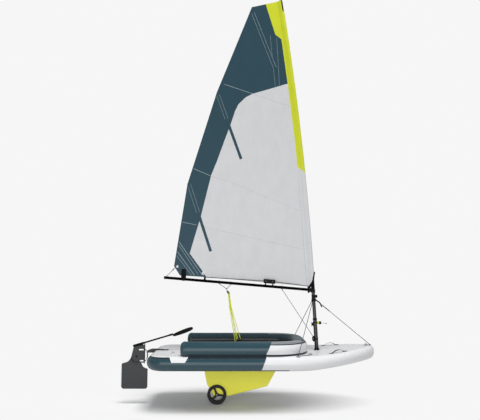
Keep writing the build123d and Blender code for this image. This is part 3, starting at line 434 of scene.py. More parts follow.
@dataclass(frozen=True)
class RingFabric(Coated):
    """Fabric of the cockpit tube, in panels set by place round the tube and along the boat, with painted
    shade on the tube's inner side.
    """

    name: str = "ring_fabric"
    slot: str = field(default="ring_teal", kw_only=True)
    slant_low: float = 0.007
    slant_high: float = 0.108
    low_z: float = 0.16
    high_z: float = 0.368
    outer_tape: float = 38.0
    tape_width: float = 8.5
    inner_tape: float = 128.0
    taper: Pair = (0.28, 0.60)
    shaded_inside_turn: float = 152.0

    def shade(self, paint: Paint) -> bpy.types.Material:
        """Builds the surface.

        Args:
            paint: The started material.

        Returns:
            The material.
        """
        x, y, z = paint.place()
        turn = paint.along()[0] * 360.0 - 90.0
        slope = (self.slant_high - self.slant_low) / (self.high_z - self.low_z)
        ahead = (x - z * slope) > self.slant_low - self.low_z * slope
        inner_turn = self.outer_tape + abs(y).ramp(*self.taper) * (self.inner_tape - self.outer_tape)
        side = ahead * (turn < self.outer_tape)
        top = ahead * (turn > self.outer_tape + self.tape_width) * (turn < inner_turn)
        # Past this turn the tube's inner side is painted near-black as shade inside the cockpit.
        colour = paint.blend(turn > self.shaded_inside_turn, PETROL, TUBE_INSIDE_SHADE)
        colour = paint.blend(side, colour, HULL_WHITE)
        colour = paint.blend(top, colour, PANEL_GREY)
        tape = turn.between(self.outer_tape, self.outer_tape + self.tape_width)
        inner = (turn > inner_turn) * (turn < inner_turn + self.tape_width)
        return self.coated(paint, paint.blend(ahead * (tape | inner), colour, PETROL_DARK))


@dataclass(frozen=True)
class SailCloth(Finish):
    """Laminated sail cloth with a fine grid of threads and slight crinkles, whose shade is also painted into
    its colour.
    """

    colour: Colour
    slot: str = field(default="sail_cloth", kw_only=True)
    grid: float = 0.012
    roughness: float = 0.5

    def shade(self, paint: Paint) -> bpy.types.Material:
        """Builds the surface.

        Args:
            paint: The started material.

        Returns:
            The material.
        """
        x, y, z = paint.place()
        threads = x.line(self.grid, 0.001) | z.line(self.grid, 0.001)
        crinkle_and_shade = paint.noise(9.0, 4.0, (1.0, 1.0, 0.55))
        fine = paint.noise(120.0, 2.0)
        # The cloth's brightness follows the crinkles: painted shade of the crinkles, besides their bump.
        base = paint.shaded(
            paint.blend(threads * 0.10, self.colour, darker(self.colour)), 0.93 + crinkle_and_shade * 0.14
        )
        bump = crinkle_and_shade * 0.7 + threads * 0.1 + fine * 0.12
        return paint.finish(base, self.roughness + fine * 0.1, bump, 0.002, Specular_IOR_Level=0.3)


@dataclass(frozen=True)
class Webbing(Finish):
    """Woven strap with ribs across it and painted shade between the ribs."""

    colour: Colour
    rib: float = 0.0024

    def shade(self, paint: Paint) -> bpy.types.Material:
        """Builds the surface.

        Args:
            paint: The started material.

        Returns:
            The material.
        """
        across, along = paint.along()
        ribs = along.wave(self.rib)
        twill = (across * 0.02 + along).wave(self.rib * 1.7)
        # The colour darkens between the ribs: painted shade, besides the bump.
        base = paint.shaded(self.colour, 0.75 + ribs * 0.3 + paint.noise(60.0) * 0.1)
        return paint.finish(base, 0.8, ribs * 0.7 + twill * 0.3, 0.0005, Specular_IOR_Level=0.15)


@dataclass(frozen=True)
class Braid(Finish):
    """Rope cover braided from two sets of strands, with flecks of a second colour and painted shade between
    the strands.
    """

    colour: Colour
    fleck: Colour
    share: float = 0.25
    strand: float = 0.004
    slot: str = field(default="stay_rope", kw_only=True)

    def shade(self, paint: Paint) -> bpy.types.Material:
        """Builds the surface.

        Args:
            paint: The started material.

        Returns:
            The material.
        """
        round_it, along = paint.along()
        left = (along * (math.tau / self.strand) + round_it * (math.tau * 4)).sine()
        right = (along * (math.tau / self.strand) - round_it * (math.tau * 4)).sine()
        plait_and_shade = left * right * 0.5 + 0.5
        flecks = (along * (math.tau / (self.strand * 3)) + round_it * math.tau).sine() > 1 - 2 * self.share
        colour = paint.blend(flecks, self.colour, self.fleck)
        # The colour darkens between the strands: painted shade, besides the bump.
        return paint.finish(paint.shaded(colour, 0.7 + plait_and_shade * 0.35), 0.75, plait_and_shade, 0.0006)


@dataclass(frozen=True)
class Moulded(Finish):
    """Moulded plastic with a fine grain and lighter rubbed patches."""

    colour: Colour
    roughness: float = 0.45
    shine: float = 0.3
    grain: float = 900.0

    def shade(self, paint: Paint) -> bpy.types.Material:
        """Builds the surface.

        Args:
            paint: The started material.

        Returns:
            The material.
        """
        cloudy = paint.noise(25.0, 4.0)
        worn = paint.noise(90.0, 5.0).ramp(0.6, 0.85)
        base = paint.blend(worn * 0.10, self.colour, tuple(min(1.0, c * 2.5 + 0.03) for c in self.colour))
        bump = paint.noise(self.grain, 2.0) * 0.5 + cloudy * 0.5
        return paint.finish(
            base, self.roughness + cloudy * 0.15, bump, 0.0002, Specular_IOR_Level=self.shine
        )


@dataclass(frozen=True)
class Carbon(Finish):
    """Satin tube with faint streaks of fibre along it."""

    colour: Colour = SOFT_BLACK
    coat: float = 0.5
    shine: float = 0.5

    def shade(self, paint: Paint) -> bpy.types.Material:
        """Builds the surface.

        Args:
            paint: The started material.

        Returns:
            The material.
        """
        streak = paint.noise(220.0, 3.0, (1.0, 1.0, 0.06))
        twill = (paint.place()[2] + paint.place()[1] * 2.0).wave(0.004)
        base = paint.shaded(self.colour, 0.75 + streak * 0.35 + twill * 0.08)
        gloss = {"Coat_Weight": self.coat, "Coat_Roughness": 0.12, "Specular_IOR_Level": self.shine}
        return paint.finish(base, 0.32 + streak * 0.15, streak, 0.00015, **gloss)


@dataclass(frozen=True)
class Metal(Finish):
    """Brushed steel."""

    colour: Colour = STEEL
    roughness: float = 0.3

    def shade(self, paint: Paint) -> bpy.types.Material:
        """Builds the surface.

        Args:
            paint: The started material.

        Returns:
            The material.
        """
        brushed = paint.noise(400.0, 3.0, (1.0, 1.0, 0.08))
        base = paint.shaded(self.colour, 0.85 + brushed * 0.25)
        return paint.finish(base, self.roughness + brushed * 0.2, brushed, 0.0001, Metallic=1.0)


@dataclass(frozen=True)
class FinGloss(Finish):
    """Smooth yellow fin with faint flow marks and scuffs near its foot."""

    name: str = "fin_yellow"
    foot_z: float = -0.56

    def shade(self, paint: Paint) -> bpy.types.Material:
        """Builds the surface.

        Args:
            paint: The started material.

        Returns:
            The material.
        """
        low = 1 - paint.place()[2].ramp(self.foot_z, self.foot_z + 0.2)
        scuffs = paint.noise(45.0, 6.0, (0.3, 1.0, 1.0)).ramp(0.55, 0.8) * low
        flow = paint.noise(2.5, 2.0)
        base = paint.shaded(paint.blend(scuffs * 0.25, FIN_YELLOW, darker(FIN_YELLOW)), 0.95 + flow * 0.08)
        return paint.finish(base, 0.33 + scuffs * 0.3, flow * 0.8 + scuffs * 0.2, 0.0008)


@dataclass(frozen=True)
class TyreRubber(Finish):
    """Matt solid tyre with fine moulding rings."""

    name: str = "tyre_rubber"
    slot: str = field(default="tyre_black", kw_only=True)
    centre: Pair = (-0.745, -0.536)

    def shade(self, paint: Paint) -> bpy.types.Material:
        """Builds the surface.

        Args:
            paint: The started material.

        Returns:
            The material.
        """
        x, y, z = paint.place()
        rings = ((x - self.centre[0]).squared() + (z - self.centre[1]).squared()).root().wave(0.0035)
        dust = paint.noise(30.0, 5.0).ramp(0.5, 0.8)
        base = paint.blend(dust * 0.08, display(20, 20, 21), display(90, 88, 84))
        return paint.finish(base, 0.7 + dust * 0.2, rings * 0.6 + paint.noise(500.0) * 0.4, 0.0004)


@dataclass(frozen=True)
class GroovedFoam(Finish):
    """Deck mat of foam cut with lengthwise grooves, with painted shade in the grooves."""

    name: str = "mat_foam"
    pitch: float = 0.04

    def shade(self, paint: Paint) -> bpy.types.Material:
        """Builds the surface.

        Args:
            paint: The started material.

        Returns:
            The material.
        """
        groove_and_shade = paint.place()[1].line(self.pitch, 0.006)
        cells = paint.noise(700.0, 2.0)
        # The grooves are painted darker: painted shade in the grooves, besides their bump.
        base = paint.blend(groove_and_shade * 0.7, display(92, 97, 101), display(46, 50, 53))
        return paint.finish(paint.shaded(base, 0.9 + cells * 0.15), 0.85, cells * 0.3 - groove_and_shade, 0.0015)


PVC_PETROL = Fabric("fabric_petrol", PETROL, slot="ring_teal")
PVC_DARK = Fabric("fabric_dark", PETROL_DARK, slot="ring_teal")
PVC_WHITE = Fabric("fabric_white", HULL_WHITE)
PVC_GREY = Fabric("fabric_grey", display(150, 156, 160), slot="patch_grey")
CLOTH_WHITE = SailCloth("cloth_white", display(210, 211, 213))
CLOTH_PETROL = SailCloth("cloth_petrol", display(44, 72, 84))
CLOTH_ACID = SailCloth("cloth_acid", display(206, 214, 48))
CLOTH_SEAM = SailCloth("cloth_seam", display(196, 199, 203))
CLOTH_SEAM_PETROL = SailCloth("cloth_seam_petrol", display(142, 158, 166))
BLACK_PLASTIC = Moulded("black_plastic", display(14, 14, 15), 0.4, 0.14)
GREY_PLASTIC = Moulded("rudder_grey", display(66, 67, 69), 0.5)
GREY_BALL = Moulded("grey_plastic", display(176, 180, 182), 0.35, slot="black_plastic")
VANE_GREEN = Moulded("vane_green", display(40, 62, 34), 0.4)
VANE_YELLOW = Moulded("vane_yellow", display(206, 205, 70), 0.35, slot="vane_green")
BLOCK_OLIVE = Moulded("block_olive", display(70, 76, 40), 0.4, slot="black_plastic")
VALVE_WHITE = Moulded("valve_white", display(214, 216, 217), 0.4, slot="ring_white")
HUB_PLASTIC = Moulded("hub_black", display(36, 36, 37), 0.45)
MAST_TUBE = Carbon("mast_black", display(15, 15, 16), 0.4, 0.4)
BOOM_TUBE = Carbon("boom_black", display(7, 7, 8), 0.0, 0.0)
STEEL_FINISH = Metal("fitting_steel")
SCREW_BRONZE = Metal("screw_bronze", display(96, 62, 52), 0.35, slot="fitting_steel")
GREY_WEB = Webbing("webbing_grey", display(42, 46, 50))
BLACK_WEB = Webbing("webbing_black", display(16, 15, 16))
STAY_ROPE = Braid("stay_rope", display(56, 58, 62), display(108, 110, 114), 0.25, 0.006)
SHEET_ROPE = Braid("sheet_rope", display(250, 255, 72), display(216, 228, 60), 0.12, 0.008)
LINE_ROPE = Braid("line_rope", display(70, 72, 77), display(120, 124, 128), 0.2, 0.005)
DARK_ROPE = Braid("dark_rope", display(40, 42, 46), display(90, 94, 98), 0.15, 0.005)


def central(x: float, z: float) -> Vector:
    """Point in the boat's middle plane."""
    return Vector((x, 0, z))


def placer(base: Vector, first: Vector, second: Vector, third: Vector = SIDEWAYS) -> Placer:
    """What turns three distances from a base, each along its own direction, into a point."""
    return lambda a, b, c: base + first * a + second * b + third * c


def upright(a: float, b: float, c: float) -> Vector:
    """Point from a place along the boat, a height and a distance to port."""
    return Vector((a, c, b))


def new_object(
    name: str, mesh: bpy.types.Mesh, materials: Sequence[bpy.types.Material]
) -> bpy.types.Object:
    """Puts a mesh in the scene, smooth where its faces meet softly.

    Args:
        name: The piece's name.
        mesh: Its mesh.
        materials: Its materials, in slot order.

    Returns:
        The new object.
    """
    for material in materials:
        mesh.materials.append(material)
    mesh.shade_smooth()
    mesh.set_sharp_from_angle(angle=math.radians(38))
    made = bpy.data.objects.new(name, mesh)
    bpy.context.scene.collection.objects.link(made)
    return made


def mesh_of(name: str, shape: bmesh.types.BMesh) -> bpy.types.Mesh:
    """Mesh of a finished shape, which is then freed.

    Args:
        name: The mesh's name.
        shape: The shape.

    Returns:
        The mesh.
    """
    mesh = bpy.data.meshes.new(name)
    shape.to_mesh(mesh)
    shape.free()
    return mesh


def quads(shape: bmesh.types.BMesh, rows: Sequence[Sequence[bmesh.types.BMVert]]) -> None:
    """Joins rows of points by faces.

    Args:
        shape: The shape that holds the points.
        rows: Rows with the same number of points.
    """
    for low, high in zip(rows, rows[1:]):
        for j in range(len(low) - 1):
            shape.faces.new((low[j], low[j + 1], high[j + 1], high[j]))


def grid_mesh(
    name: str, rows: Sequence[Sequence[Vector]], wrap: bool = False, cap: bool = False, weld: float = 1e-5,
    extra: Sequence[Sequence[Sequence[Vector]]] = (),
) -> bpy.types.Mesh:
    """Mesh of quads through rows of points, mapped across in turns and along in metres.

    Args:
        name: The mesh's name.
        rows: Rows with the same number of points.
        wrap: Joins the last point of each row to its first.
        cap: Closes the first and last row with a face.
        weld: Points nearer than this are joined.
        extra: More patches of rows that belong to the same skin.

    Returns:
        The mesh.
    """
    shape = bmesh.new()
    mapped = shape.loops.layers.uv.new("UVMap")
    wide = len(rows[0])
    made = [[shape.verts.new(point) for point in row] for row in rows]
    distance = [0.0]
    for before, after in zip(rows, rows[1:]):
        distance.append(distance[-1] + sum((a - b).length for a, b in zip(before, after)) / wide)
    steps = wide if wrap else wide - 1
    for i in range(len(rows) - 1):
        for j in range(steps):
            k = (j + 1) % wide
            face = shape.faces.new((made[i][j], made[i][k], made[i + 1][k], made[i + 1][j]))
            corners = ((j, i), (j + 1, i), (j + 1, i + 1), (j, i + 1))
            for loop, (across, along) in zip(face.loops, corners):
                loop[mapped].uv = (across / steps, distance[along])
    if cap:
        shape.faces.new(list(reversed(made[0])))
        shape.faces.new(made[-1])
    for patch in extra:
        quads(shape, [[shape.verts.new(point) for point in row] for row in patch])
    bmesh.ops.remove_doubles(shape, verts=shape.verts, dist=weld)
    bmesh.ops.recalc_face_normals(shape, faces=shape.faces)
    return mesh_of(name, shape)


def smooth_path(points: Sequence[Point], steps: int = 8) -> list[Vector]:
    """Points along a smooth curve through the given points.

    Args:
        points: Places to pass through.
        steps: Points added per stretch.

    Returns:
        The finer path.
    """
    knots = [Vector(p) for p in points]
    if len(knots) < 3:
        return knots
    ends = [knots[0] * 2 - knots[1]] + knots + [knots[-1] * 2 - knots[-2]]
    path = []
    for a, b, c, d in zip(ends, ends[1:], ends[2:], ends[3:]):
        square = 2 * a - 5 * b + 4 * c - d
        cube = 3 * b - a - 3 * c + d
        for t in (i / steps for i in range(steps)):
            path.append(0.5 * ((2 * b) + (c - a) * t + square * t ** 2 + cube * t ** 3))
    return path + [knots[-1]]


def frames_along(path: Sequence[Vector]) -> list[tuple[Vector, Vector, Vector]]:
    """Direction and two cross directions at each point of a path, without sudden twist.

    Args:
        path: The path.

    Returns:
        The directions ahead, to the side and up, point by point.
    """
    found = []
    side = None
    for i in range(len(path)):
        ahead = (path[min(i + 1, len(path) - 1)] - path[max(i - 1, 0)]).normalized()
        if side is None:
            flat = UPWARD.cross(ahead)
            side = (flat if flat.length > 0.05 else ahead.orthogonal()).normalized()
        side = (side - ahead * side.dot(ahead)).normalized()
        found.append((ahead, side, ahead.cross(side)))
    return found


def swept(
    name: str, path: Sequence[Vector], section: Callable[[float], Sequence[Pair]],
    material: bpy.types.Material,
) -> bpy.types.Object:
    """Closed tube or strap of any section along a path.

    Args:
        name: The piece's name.
        path: The centre line.
        section: Points across the path, from the share of the path gone, 0 to 1.
        material: Its material.

    Returns:
        The new object.
    """
    rows = []
    for i, (point, (ahead, side, up)) in enumerate(zip(path, frames_along(path))):
        rows.append([point + side * a + up * b for a, b in section(i / (len(path) - 1))])
    return new_object(name, grid_mesh(name, rows, wrap=True, cap=True), [material])


def circle(radius: float, sides: int = 12) -> list[Pair]:
    """Points of a round section."""
    turns = [math.tau * i / sides for i in range(sides)]
    return [(radius * math.cos(turn), radius * math.sin(turn)) for turn in turns]


def strap_section(width: float, thickness: float) -> list[Pair]:
    """Flat section with rounded sides."""
    a, b = width / 2, thickness / 2
    return [
        (-a, -b * 0.5), (-a + b, -b), (a - b, -b), (a, -b * 0.5), (a, b * 0.5), (a - b, b), (-a + b, b),
        (-a, b * 0.5),
    ]


def turned(
    name: str, start: Point, axis: Point, profile: Sequence[Pair], material: bpy.types.Material,
    sides: int = 32, closed: bool = False,
) -> bpy.types.Object:
    """Round part from a profile of radius and distance along an axis.

    Args:
        name: The piece's name.
        start: Where the axis starts.
        axis: The axis direction.
        profile: Radius and distance pairs.
        material: Its material.
        sides: Points round the part.
        closed: Joins the profile's end to its start, for a ring.

    Returns:
        The new object.
    """
    along = Vector(axis).normalized()
    side = along.orthogonal().normalized()
    onto = placer(Vector(start), along, side, along.cross(side))
    stops = [*profile, profile[0]] if closed else profile
    rows = [[onto(far, a, b) for a, b in circle(radius, sides)] for radius, far in stops]
    return new_object(name, grid_mesh(name, rows, wrap=True, cap=not closed), [material])


def slab(
    name: str, outline: Sequence[Pair], low: float, high: float, material: bpy.types.Material,
    bevel: float = 0.002, place: Placer = upright,
) -> bpy.types.Object:
    """Bevelled plate from a flat outline.

    Args:
        name: The piece's name.
        outline: Corners of the plate.
        low: Where its thickness starts.
        high: Where its thickness ends.
        material: Its material.
        bevel: Width of the bevel on its edges.
        place: Turns outline and thickness numbers into a point.

    Returns:
        The new object.
    """
    shape = bmesh.new()
    under = [shape.verts.new(place(a, b, low)) for a, b in outline]
    over = [shape.verts.new(place(a, b, high)) for a, b in outline]
    quads(shape, [[*under, under[0]], [*over, over[0]]])
    shape.faces.new(under)
    shape.faces.new(over)
    bmesh.ops.recalc_face_normals(shape, faces=shape.faces)
    edges = list(shape.edges)
    bmesh.ops.bevel(
        shape, geom=edges, offset=bevel, segments=2, profile=0.6, affect="EDGES", clamp_overlap=True
    )
    return new_object(name, mesh_of(name, shape), [material])


@dataclass
class Workshop:
    """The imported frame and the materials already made."""

    frame: dict
    ready: dict = field(default_factory=dict)

    def made(self, finish: Finish) -> bpy.types.Material:
        """The material of a finish, built once.

        Args:
            finish: The finish.

        Returns:
            Its material.
        """
        if finish not in self.ready:
            self.ready[finish] = finish.paint()
        return self.ready[finish]

    def dress(self, finish: Finish, *nodes: str) -> None:
        """Gives carried-over solids a finish.

        Args:
            finish: The finish.
            nodes: The solids' names.
        """
        for node in nodes:
            data = self.frame["nodes"][node].data
            data.materials.clear()
            data.materials.append(self.made(finish))
            log.info("%s finished in %s", node, finish.name)


@dataclass
class Studio:
    """Pale floor that fades into the background, soft lamps and the camera."""

    floor_z: float = -0.690
    floor_half: float = 60.0
    backdrop: float = 0.921
    shade_middle: Pair = (-0.7, 0.25)
    shade_reach: Pair = (1.9, 0.9)
    world_level: float = 0.36
    floor_level: float = 0.6
    camera_place: Point = (-0.373, -9.306, 1.452)
    camera_tilt: float = 96.1
    lens: float = 42.075

    def build(self) -> None:
        """Builds the floor, the world, the lamps and the camera."""
        self.floor()
        self.world()
        self.lamp("front_box", (-0.8, -6.0, 1.0), (0.0, 0.0, 0.4), (6.5, 3.3), 150.0)
        self.lamp("top_box", (0.6, -3.0, 16.0), (0.0, 0.0, 0.0), (6.0, 6.0), 1950.0, mirrored=False)
        self.lamp("back_box", (2.0, 7.0, 5.0), (0.0, 0.0, 1.0), (5.0, 3.0), 30.0)
        self.camera()

    def floor(self) -> None:
        """Large floor that catches the boat's shadow and turns into plain background further out."""
        paint = Paint("studio_floor")
        x, y, z = paint.place()
        off_x = ((x - self.shade_middle[0]) / self.shade_reach[0]).squared()
        off_y = ((y - self.shade_middle[1]) / self.shade_reach[1]).squared()
        far = (off_x + off_y).root().ramp(0.6, 1.45)
        paint.finish((self.backdrop,) * 3, 1.0, Specular_IOR_Level=0.0)
        rays = paint.node("ShaderNodeLightPath").outputs
        seen, glossy, through = (
            Number(paint, rays[f"Is {kind} Ray"]) for kind in ("Camera", "Glossy", "Transmission")
        )
        shown = self.floor_level + (seen | glossy | through) * (self.backdrop - self.floor_level)
        glow = paint.node("ShaderNodeEmission", None, {"Color": (*PURE_WHITE, 1.0), "Strength": shown})
        mixed = paint.node(
            "ShaderNodeMixShader", None, {0: far, 1: paint.surface.outputs[0], 2: glow.outputs[0]}
        )
        paint.tree.links.new(mixed.outputs[0], paint.output.inputs["Surface"])
        corners = [(-1, -1), (1, -1), (1, 1), (-1, 1)]
        mesh = bpy.data.meshes.new("floor")
        points = [(a * self.floor_half, b * self.floor_half, self.floor_z) for a, b in corners]
        mesh.from_pydata(points, [], [(0, 1, 2, 3)])
        new_object("floor", mesh, [paint.material])

    def world(self) -> None:
        """Even white surroundings that light the boat, shown to the camera as the background."""
        world = bpy.data.worlds.new("studio")
        world.use_nodes = True
        bpy.context.scene.world = world
        nodes = world.node_tree.nodes
        links = world.node_tree.links
        lit = nodes["Background"]
        lit.inputs["Color"].default_value = (*PURE_WHITE, 1.0)
        lit.inputs["Strength"].default_value = self.world_level
        shown = nodes.new("ShaderNodeBackground")
        shown.inputs["Color"].default_value = (self.backdrop, self.backdrop, self.backdrop, 1.0)
        rays = nodes.new("ShaderNodeLightPath")
        mixed = nodes.new("ShaderNodeMixShader")
        links.new(rays.outputs["Is Camera Ray"], mixed.inputs[0])
        links.new(lit.outputs[0], mixed.inputs[1])
        links.new(shown.outputs[0], mixed.inputs[2])
        links.new(mixed.outputs[0], nodes["World Output"].inputs["Surface"])

    def lamp(
        self, name: str, place: Point, aim: Point, size: Pair, power: float, mirrored: bool = True
    ) -> None:
        """Adds a rectangular soft lamp.

        Args:
            name: The lamp's name.
            place: Where it stands.
            aim: What it points at.
            size: Its width and height.
            power: Its power in watts.
            mirrored: Whether it shows in reflections.
        """
        data = bpy.data.lights.new(name, "AREA")
        data.shape = "RECTANGLE"
        data.size, data.size_y = size
        data.energy = power
        lamp = bpy.data.objects.new(name, data)
        lamp.visible_camera = False
        lamp.visible_glossy = mirrored
        lamp.location = place
        lamp.rotation_euler = (Vector(aim) - Vector(place)).to_track_quat("-Z", "Y").to_euler()
        bpy.context.scene.collection.objects.link(lamp)

    def camera(self) -> None:
        """Adds the camera at the photograph's viewing angle."""
        data = bpy.data.cameras.new("camera")
        data.lens = self.lens
        camera = bpy.data.objects.new("camera", data)
        camera.location = self.camera_place
        camera.rotation_euler = (math.radians(self.camera_tilt), 0.0, 0.0)
        bpy.context.scene.collection.objects.link(camera)
        bpy.context.scene.camera = camera


@dataclass
class HullLines:
    """Lines of the inflated board, shared by the pieces that sit on it."""

    stern: float = -1.8
    bow: float = 1.8
    half_beam: float = 0.78
    deck: float = 0.16
    keel: float = -0.06
    edge: float = 0.11
    corner: float = 0.28
    bow_start: float = 0.2
    power: float = 2.4
    fullness: float = 0.85
    nose: float = 0.095

    def rise(self, x: float, start: float, blend: float, slope: float) -> float:
        """Height gained at x: level, then a parabola, then a straight slope.

        Args:
            x: Place along the boat.
            start: Middle of the blend.
            blend: Half length of the blend.
            slope: Slope after it.

        Returns:
            The height gained.
        """
        if x <= start - blend:
            return 0.0
        if x >= start + blend:
            return slope * (x - start)
        return slope * (x - start + blend) ** 2 / (4 * blend)

    def deck_z(self, x: float) -> float:
        """Height of the deck at x."""
        return self.deck + self.rise(x, 0.96, 0.2, 0.105)

    def keel_z(self, x: float) -> float:
        """Height of the bottom at x."""
        return self.keel + self.rise(x, 0.7, 0.12, 0.104)

    def flat_half(self, x: float) -> float:
        """Half breadth of the flat deck at x, inside the round edge.

        Args:
            x: Place along the boat.

        Returns:
            The half breadth.
        """
        if x <= self.bow_start:
            return self.half_beam - self.edge
        share = min(1.0, (x - self.bow_start) / (self.bow - self.bow_start))
        return (self.half_beam - self.edge) * (1 - share ** self.power) ** self.fullness

    def station(self, x: float, closing: float = 1.0) -> Station:
        """Port station of the straight sides and the bow at x, with its edge radius drawn in by a share."""
        deck, keel = self.deck_z(x), self.keel_z(x)
        return x, self.flat_half(x), 0.0, 1.0, (deck - keel) / 2 * closing, (deck + keel) / 2

    def port_stations(self) -> list[Station]:
        """Stations from the bow round the port side to mid stern.

        Returns:
            For each its place, outward direction, edge radius and that edge's height.
        """
        nose_start = self.bow - self.nose
        turns = [math.radians(88 - step * 8.8) for step in range(10)]
        found = [self.station(nose_start + self.nose * math.sin(turn), math.cos(turn)) for turn in turns]
        found += [
            self.station(nose_start + (self.bow_start - nose_start) * step / 30) for step in range(30)
        ]
        corner_x = self.stern + self.corner
        edge = (self.edge, self.keel + self.edge)
        for step in range(14):
            x = self.bow_start + (corner_x - self.bow_start) * step / 14
            found.append((x, self.flat_half(x), 0.0, 1.0, *edge))
        inner = self.corner - self.edge
        half = self.half_beam - self.corner
        for step in range(13):
            turn = math.pi / 2 * step / 12
            x, y = corner_x - inner * math.sin(turn), half + inner * math.cos(turn)
            found.append((x, y, -math.sin(turn), math.cos(turn), *edge))
        found += [(corner_x - inner, half * (1 - step / 6), -1.0, 0.0, *edge) for step in range(1, 7)]
        return found

    def edge_point(self, station: Station, turn: float, proud: float = 0.0, side: int = 1) -> Vector:
        """Point on the round edge.

        Args:
            station: One of the stations.
            turn: Angle up from level, in degrees.
            proud: Distance off the fabric.
            side: 1 for port, -1 for starboard.

        Returns:
            The point.
        """
        x, y, out_x, out_y, radius, middle = station
        out = (radius + proud) * math.cos(math.radians(turn))
        up = (radius + proud) * math.sin(math.radians(turn))
        return Vector((x + out_x * out, side * (y + out_y * out), middle + up))


@dataclass
class Gear:
    """Sub-assembly of the boat, whose pieces are each made in a finish and mounted in one call."""

    shop: Workshop
    body = Body.HULL

    def mount(
        self, piece: bpy.types.Object, finish: Finish, *nodes: str, slot: str = "", body: Body | None = None
    ) -> bpy.types.Object:
        """Makes a piece ride on its body and hides the solids that it stands for.

        Args:
            piece: The new piece.
            finish: Its finish; not used.
            nodes: Solids that it stands for.
            slot: Not used.
            body: Another body than the sub-assembly's.

        Returns:
            The same piece.
        """
        carrier = (body or self.body).value
        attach(piece, carrier)
        slot or finish.slot or finish.name
        if nodes:
            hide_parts(*nodes)
        log.info("%s on %s", piece.name, carrier)
        return piece

    def skin(
        self, name: str, rows: Sequence[Sequence[Vector]], finish: Finish, *nodes: str, **shape: object
    ) -> None:
        """Closed skin through rows of points."""
        piece = new_object(name, grid_mesh(name, rows, wrap=True, **shape), [self.shop.made(finish)])
        self.mount(piece, finish, *nodes)

    def turn(
        self, name: str, start: Point, axis: Point, profile: Sequence[Pair], finish: Finish,
        sides: int = 32, *nodes: str, closed: bool = False, **kept: object,
    ) -> bpy.types.Object:
        """Round part."""
        piece = turned(name, start, axis, profile, self.shop.made(finish), sides, closed)
        return self.mount(piece, finish, *nodes, **kept)

    def plate(
        self, name: str, outline: Sequence[Pair], low: float, high: float, finish: Finish,
        bevel: float = 0.002, place: Placer = upright, *nodes: str, **kept: object,
    ) -> None:
        """Bevelled plate."""
        self.mount(
            slab(name, outline, low, high, self.shop.made(finish), bevel, place), finish, *nodes, **kept
        )

    def plates(
        self, name: str, outline: Sequence[Pair], low: float, high: float, finish: Finish,
        bevel: float = 0.002, place: Placer = upright, *nodes: str,
    ) -> None:
        """Two like plates, to port and to starboard of the middle."""
        self.plate(name + "_port", outline, low, high, finish, bevel, place, *nodes)
        self.plate(name + "_starboard", outline, -high, -low, finish, bevel, place)

    def line(
        self, name: str, points: Sequence[Point], radius: float, finish: Finish, sides: int = 10,
        *nodes: str,
    ) -> None:
        """Round rope through points."""
        section = circle(radius, sides)
        self.mount(
            swept(name, smooth_path(points), lambda share: section, self.shop.made(finish)), finish, *nodes
        )

    def web(
        self, name: str, points: Sequence[Point], width: float, thickness: float, finish: Finish,
        *nodes: str,
    ) -> None:
        """Flat webbing through points."""
        section = strap_section(width, thickness)
        self.mount(
            swept(name, smooth_path(points), lambda share: section, self.shop.made(finish)), finish, *nodes
        )

    def loop(
        self, name: str, path: Sequence[Vector], normal: Vector, section: Sequence[Pair],
        finish: Finish, *nodes: str,
    ) -> None:
        """Closed bar that follows a flat loop.

        Args:
            name: The piece's name.
            path: The loop's points.
            normal: Direction square to the loop.
            section: Points across the bar, outward and along the normal.
            finish: Its finish.
            nodes: Solids that it stands for.
        """
        rows = []
        for i, point in enumerate(path):
            out = (path[(i + 1) % len(path)] - path[i - 1]).normalized().cross(normal)
            rows.append([point + out * a + normal * b for a, b in section])
        self.skin(name, [*rows, rows[0]], finish, *nodes)


@dataclass
class HullBoard(Gear):
    """Inflated hull board with its edge tapes."""

    lines: HullLines
    turns: int = 20
    across: int = 12
    tape_turn: float = 65.5

    def build(self) -> None:
        """Builds the board and its tapes."""
        port = self.lines.port_stations()
        angles = [90 - 180 * i / self.turns for i in range(self.turns + 1)]
        skin = [
            [self.lines.edge_point(s, turn, 0.0, side) for s, side in self.loop_of(port)] for turn in angles
        ]
        flats = []
        for turn in (90, -90):
            rows = []
            for station in port[:-6]:
                far = self.lines.edge_point(station, turn, 0.0, 1)
                near = self.lines.edge_point(station, turn, 0.0, -1)
                rows.append([far.lerp(near, j / self.across) for j in range(self.across + 1)])
            flats.append(rows)
        self.skin("hull_skin", skin, HullFabric(), "hull_board", extra=flats, weld=2e-4)
        self.band("deck_edge_tape", self.tape_turn, 0.013)
        self.band("keel_edge_tape", -64.0, 0.018)

    def loop_of(self, port: list[Station]) -> list[tuple[Station, int]]:
        """Stations all round the board, from those of its port side."""
        return [(s, 1) for s in port] + [(s, -1) for s in reversed(port[:-1])]

    def band(self, name: str, turn: float, width: float) -> None:
        """Glued tape all round the edge at one angle.

        Args:
            name: The piece's name.
            turn: Angle of its middle up from level, in degrees.
            width: Its width.
        """
        rows = []
        for station, side in self.loop_of(self.lines.port_stations()[4:]):
            half = math.degrees(width / 2 / station[4])
            profile = ((-1, -0.001), (-0.9, 0.0008), (0.9, 0.0008), (1, -0.001))
            rows.append([
                self.lines.edge_point(station, turn + half * share, proud, side)
                for share, proud in profile
            ])
        self.skin(name, [*rows, rows[0]], HullFabric())


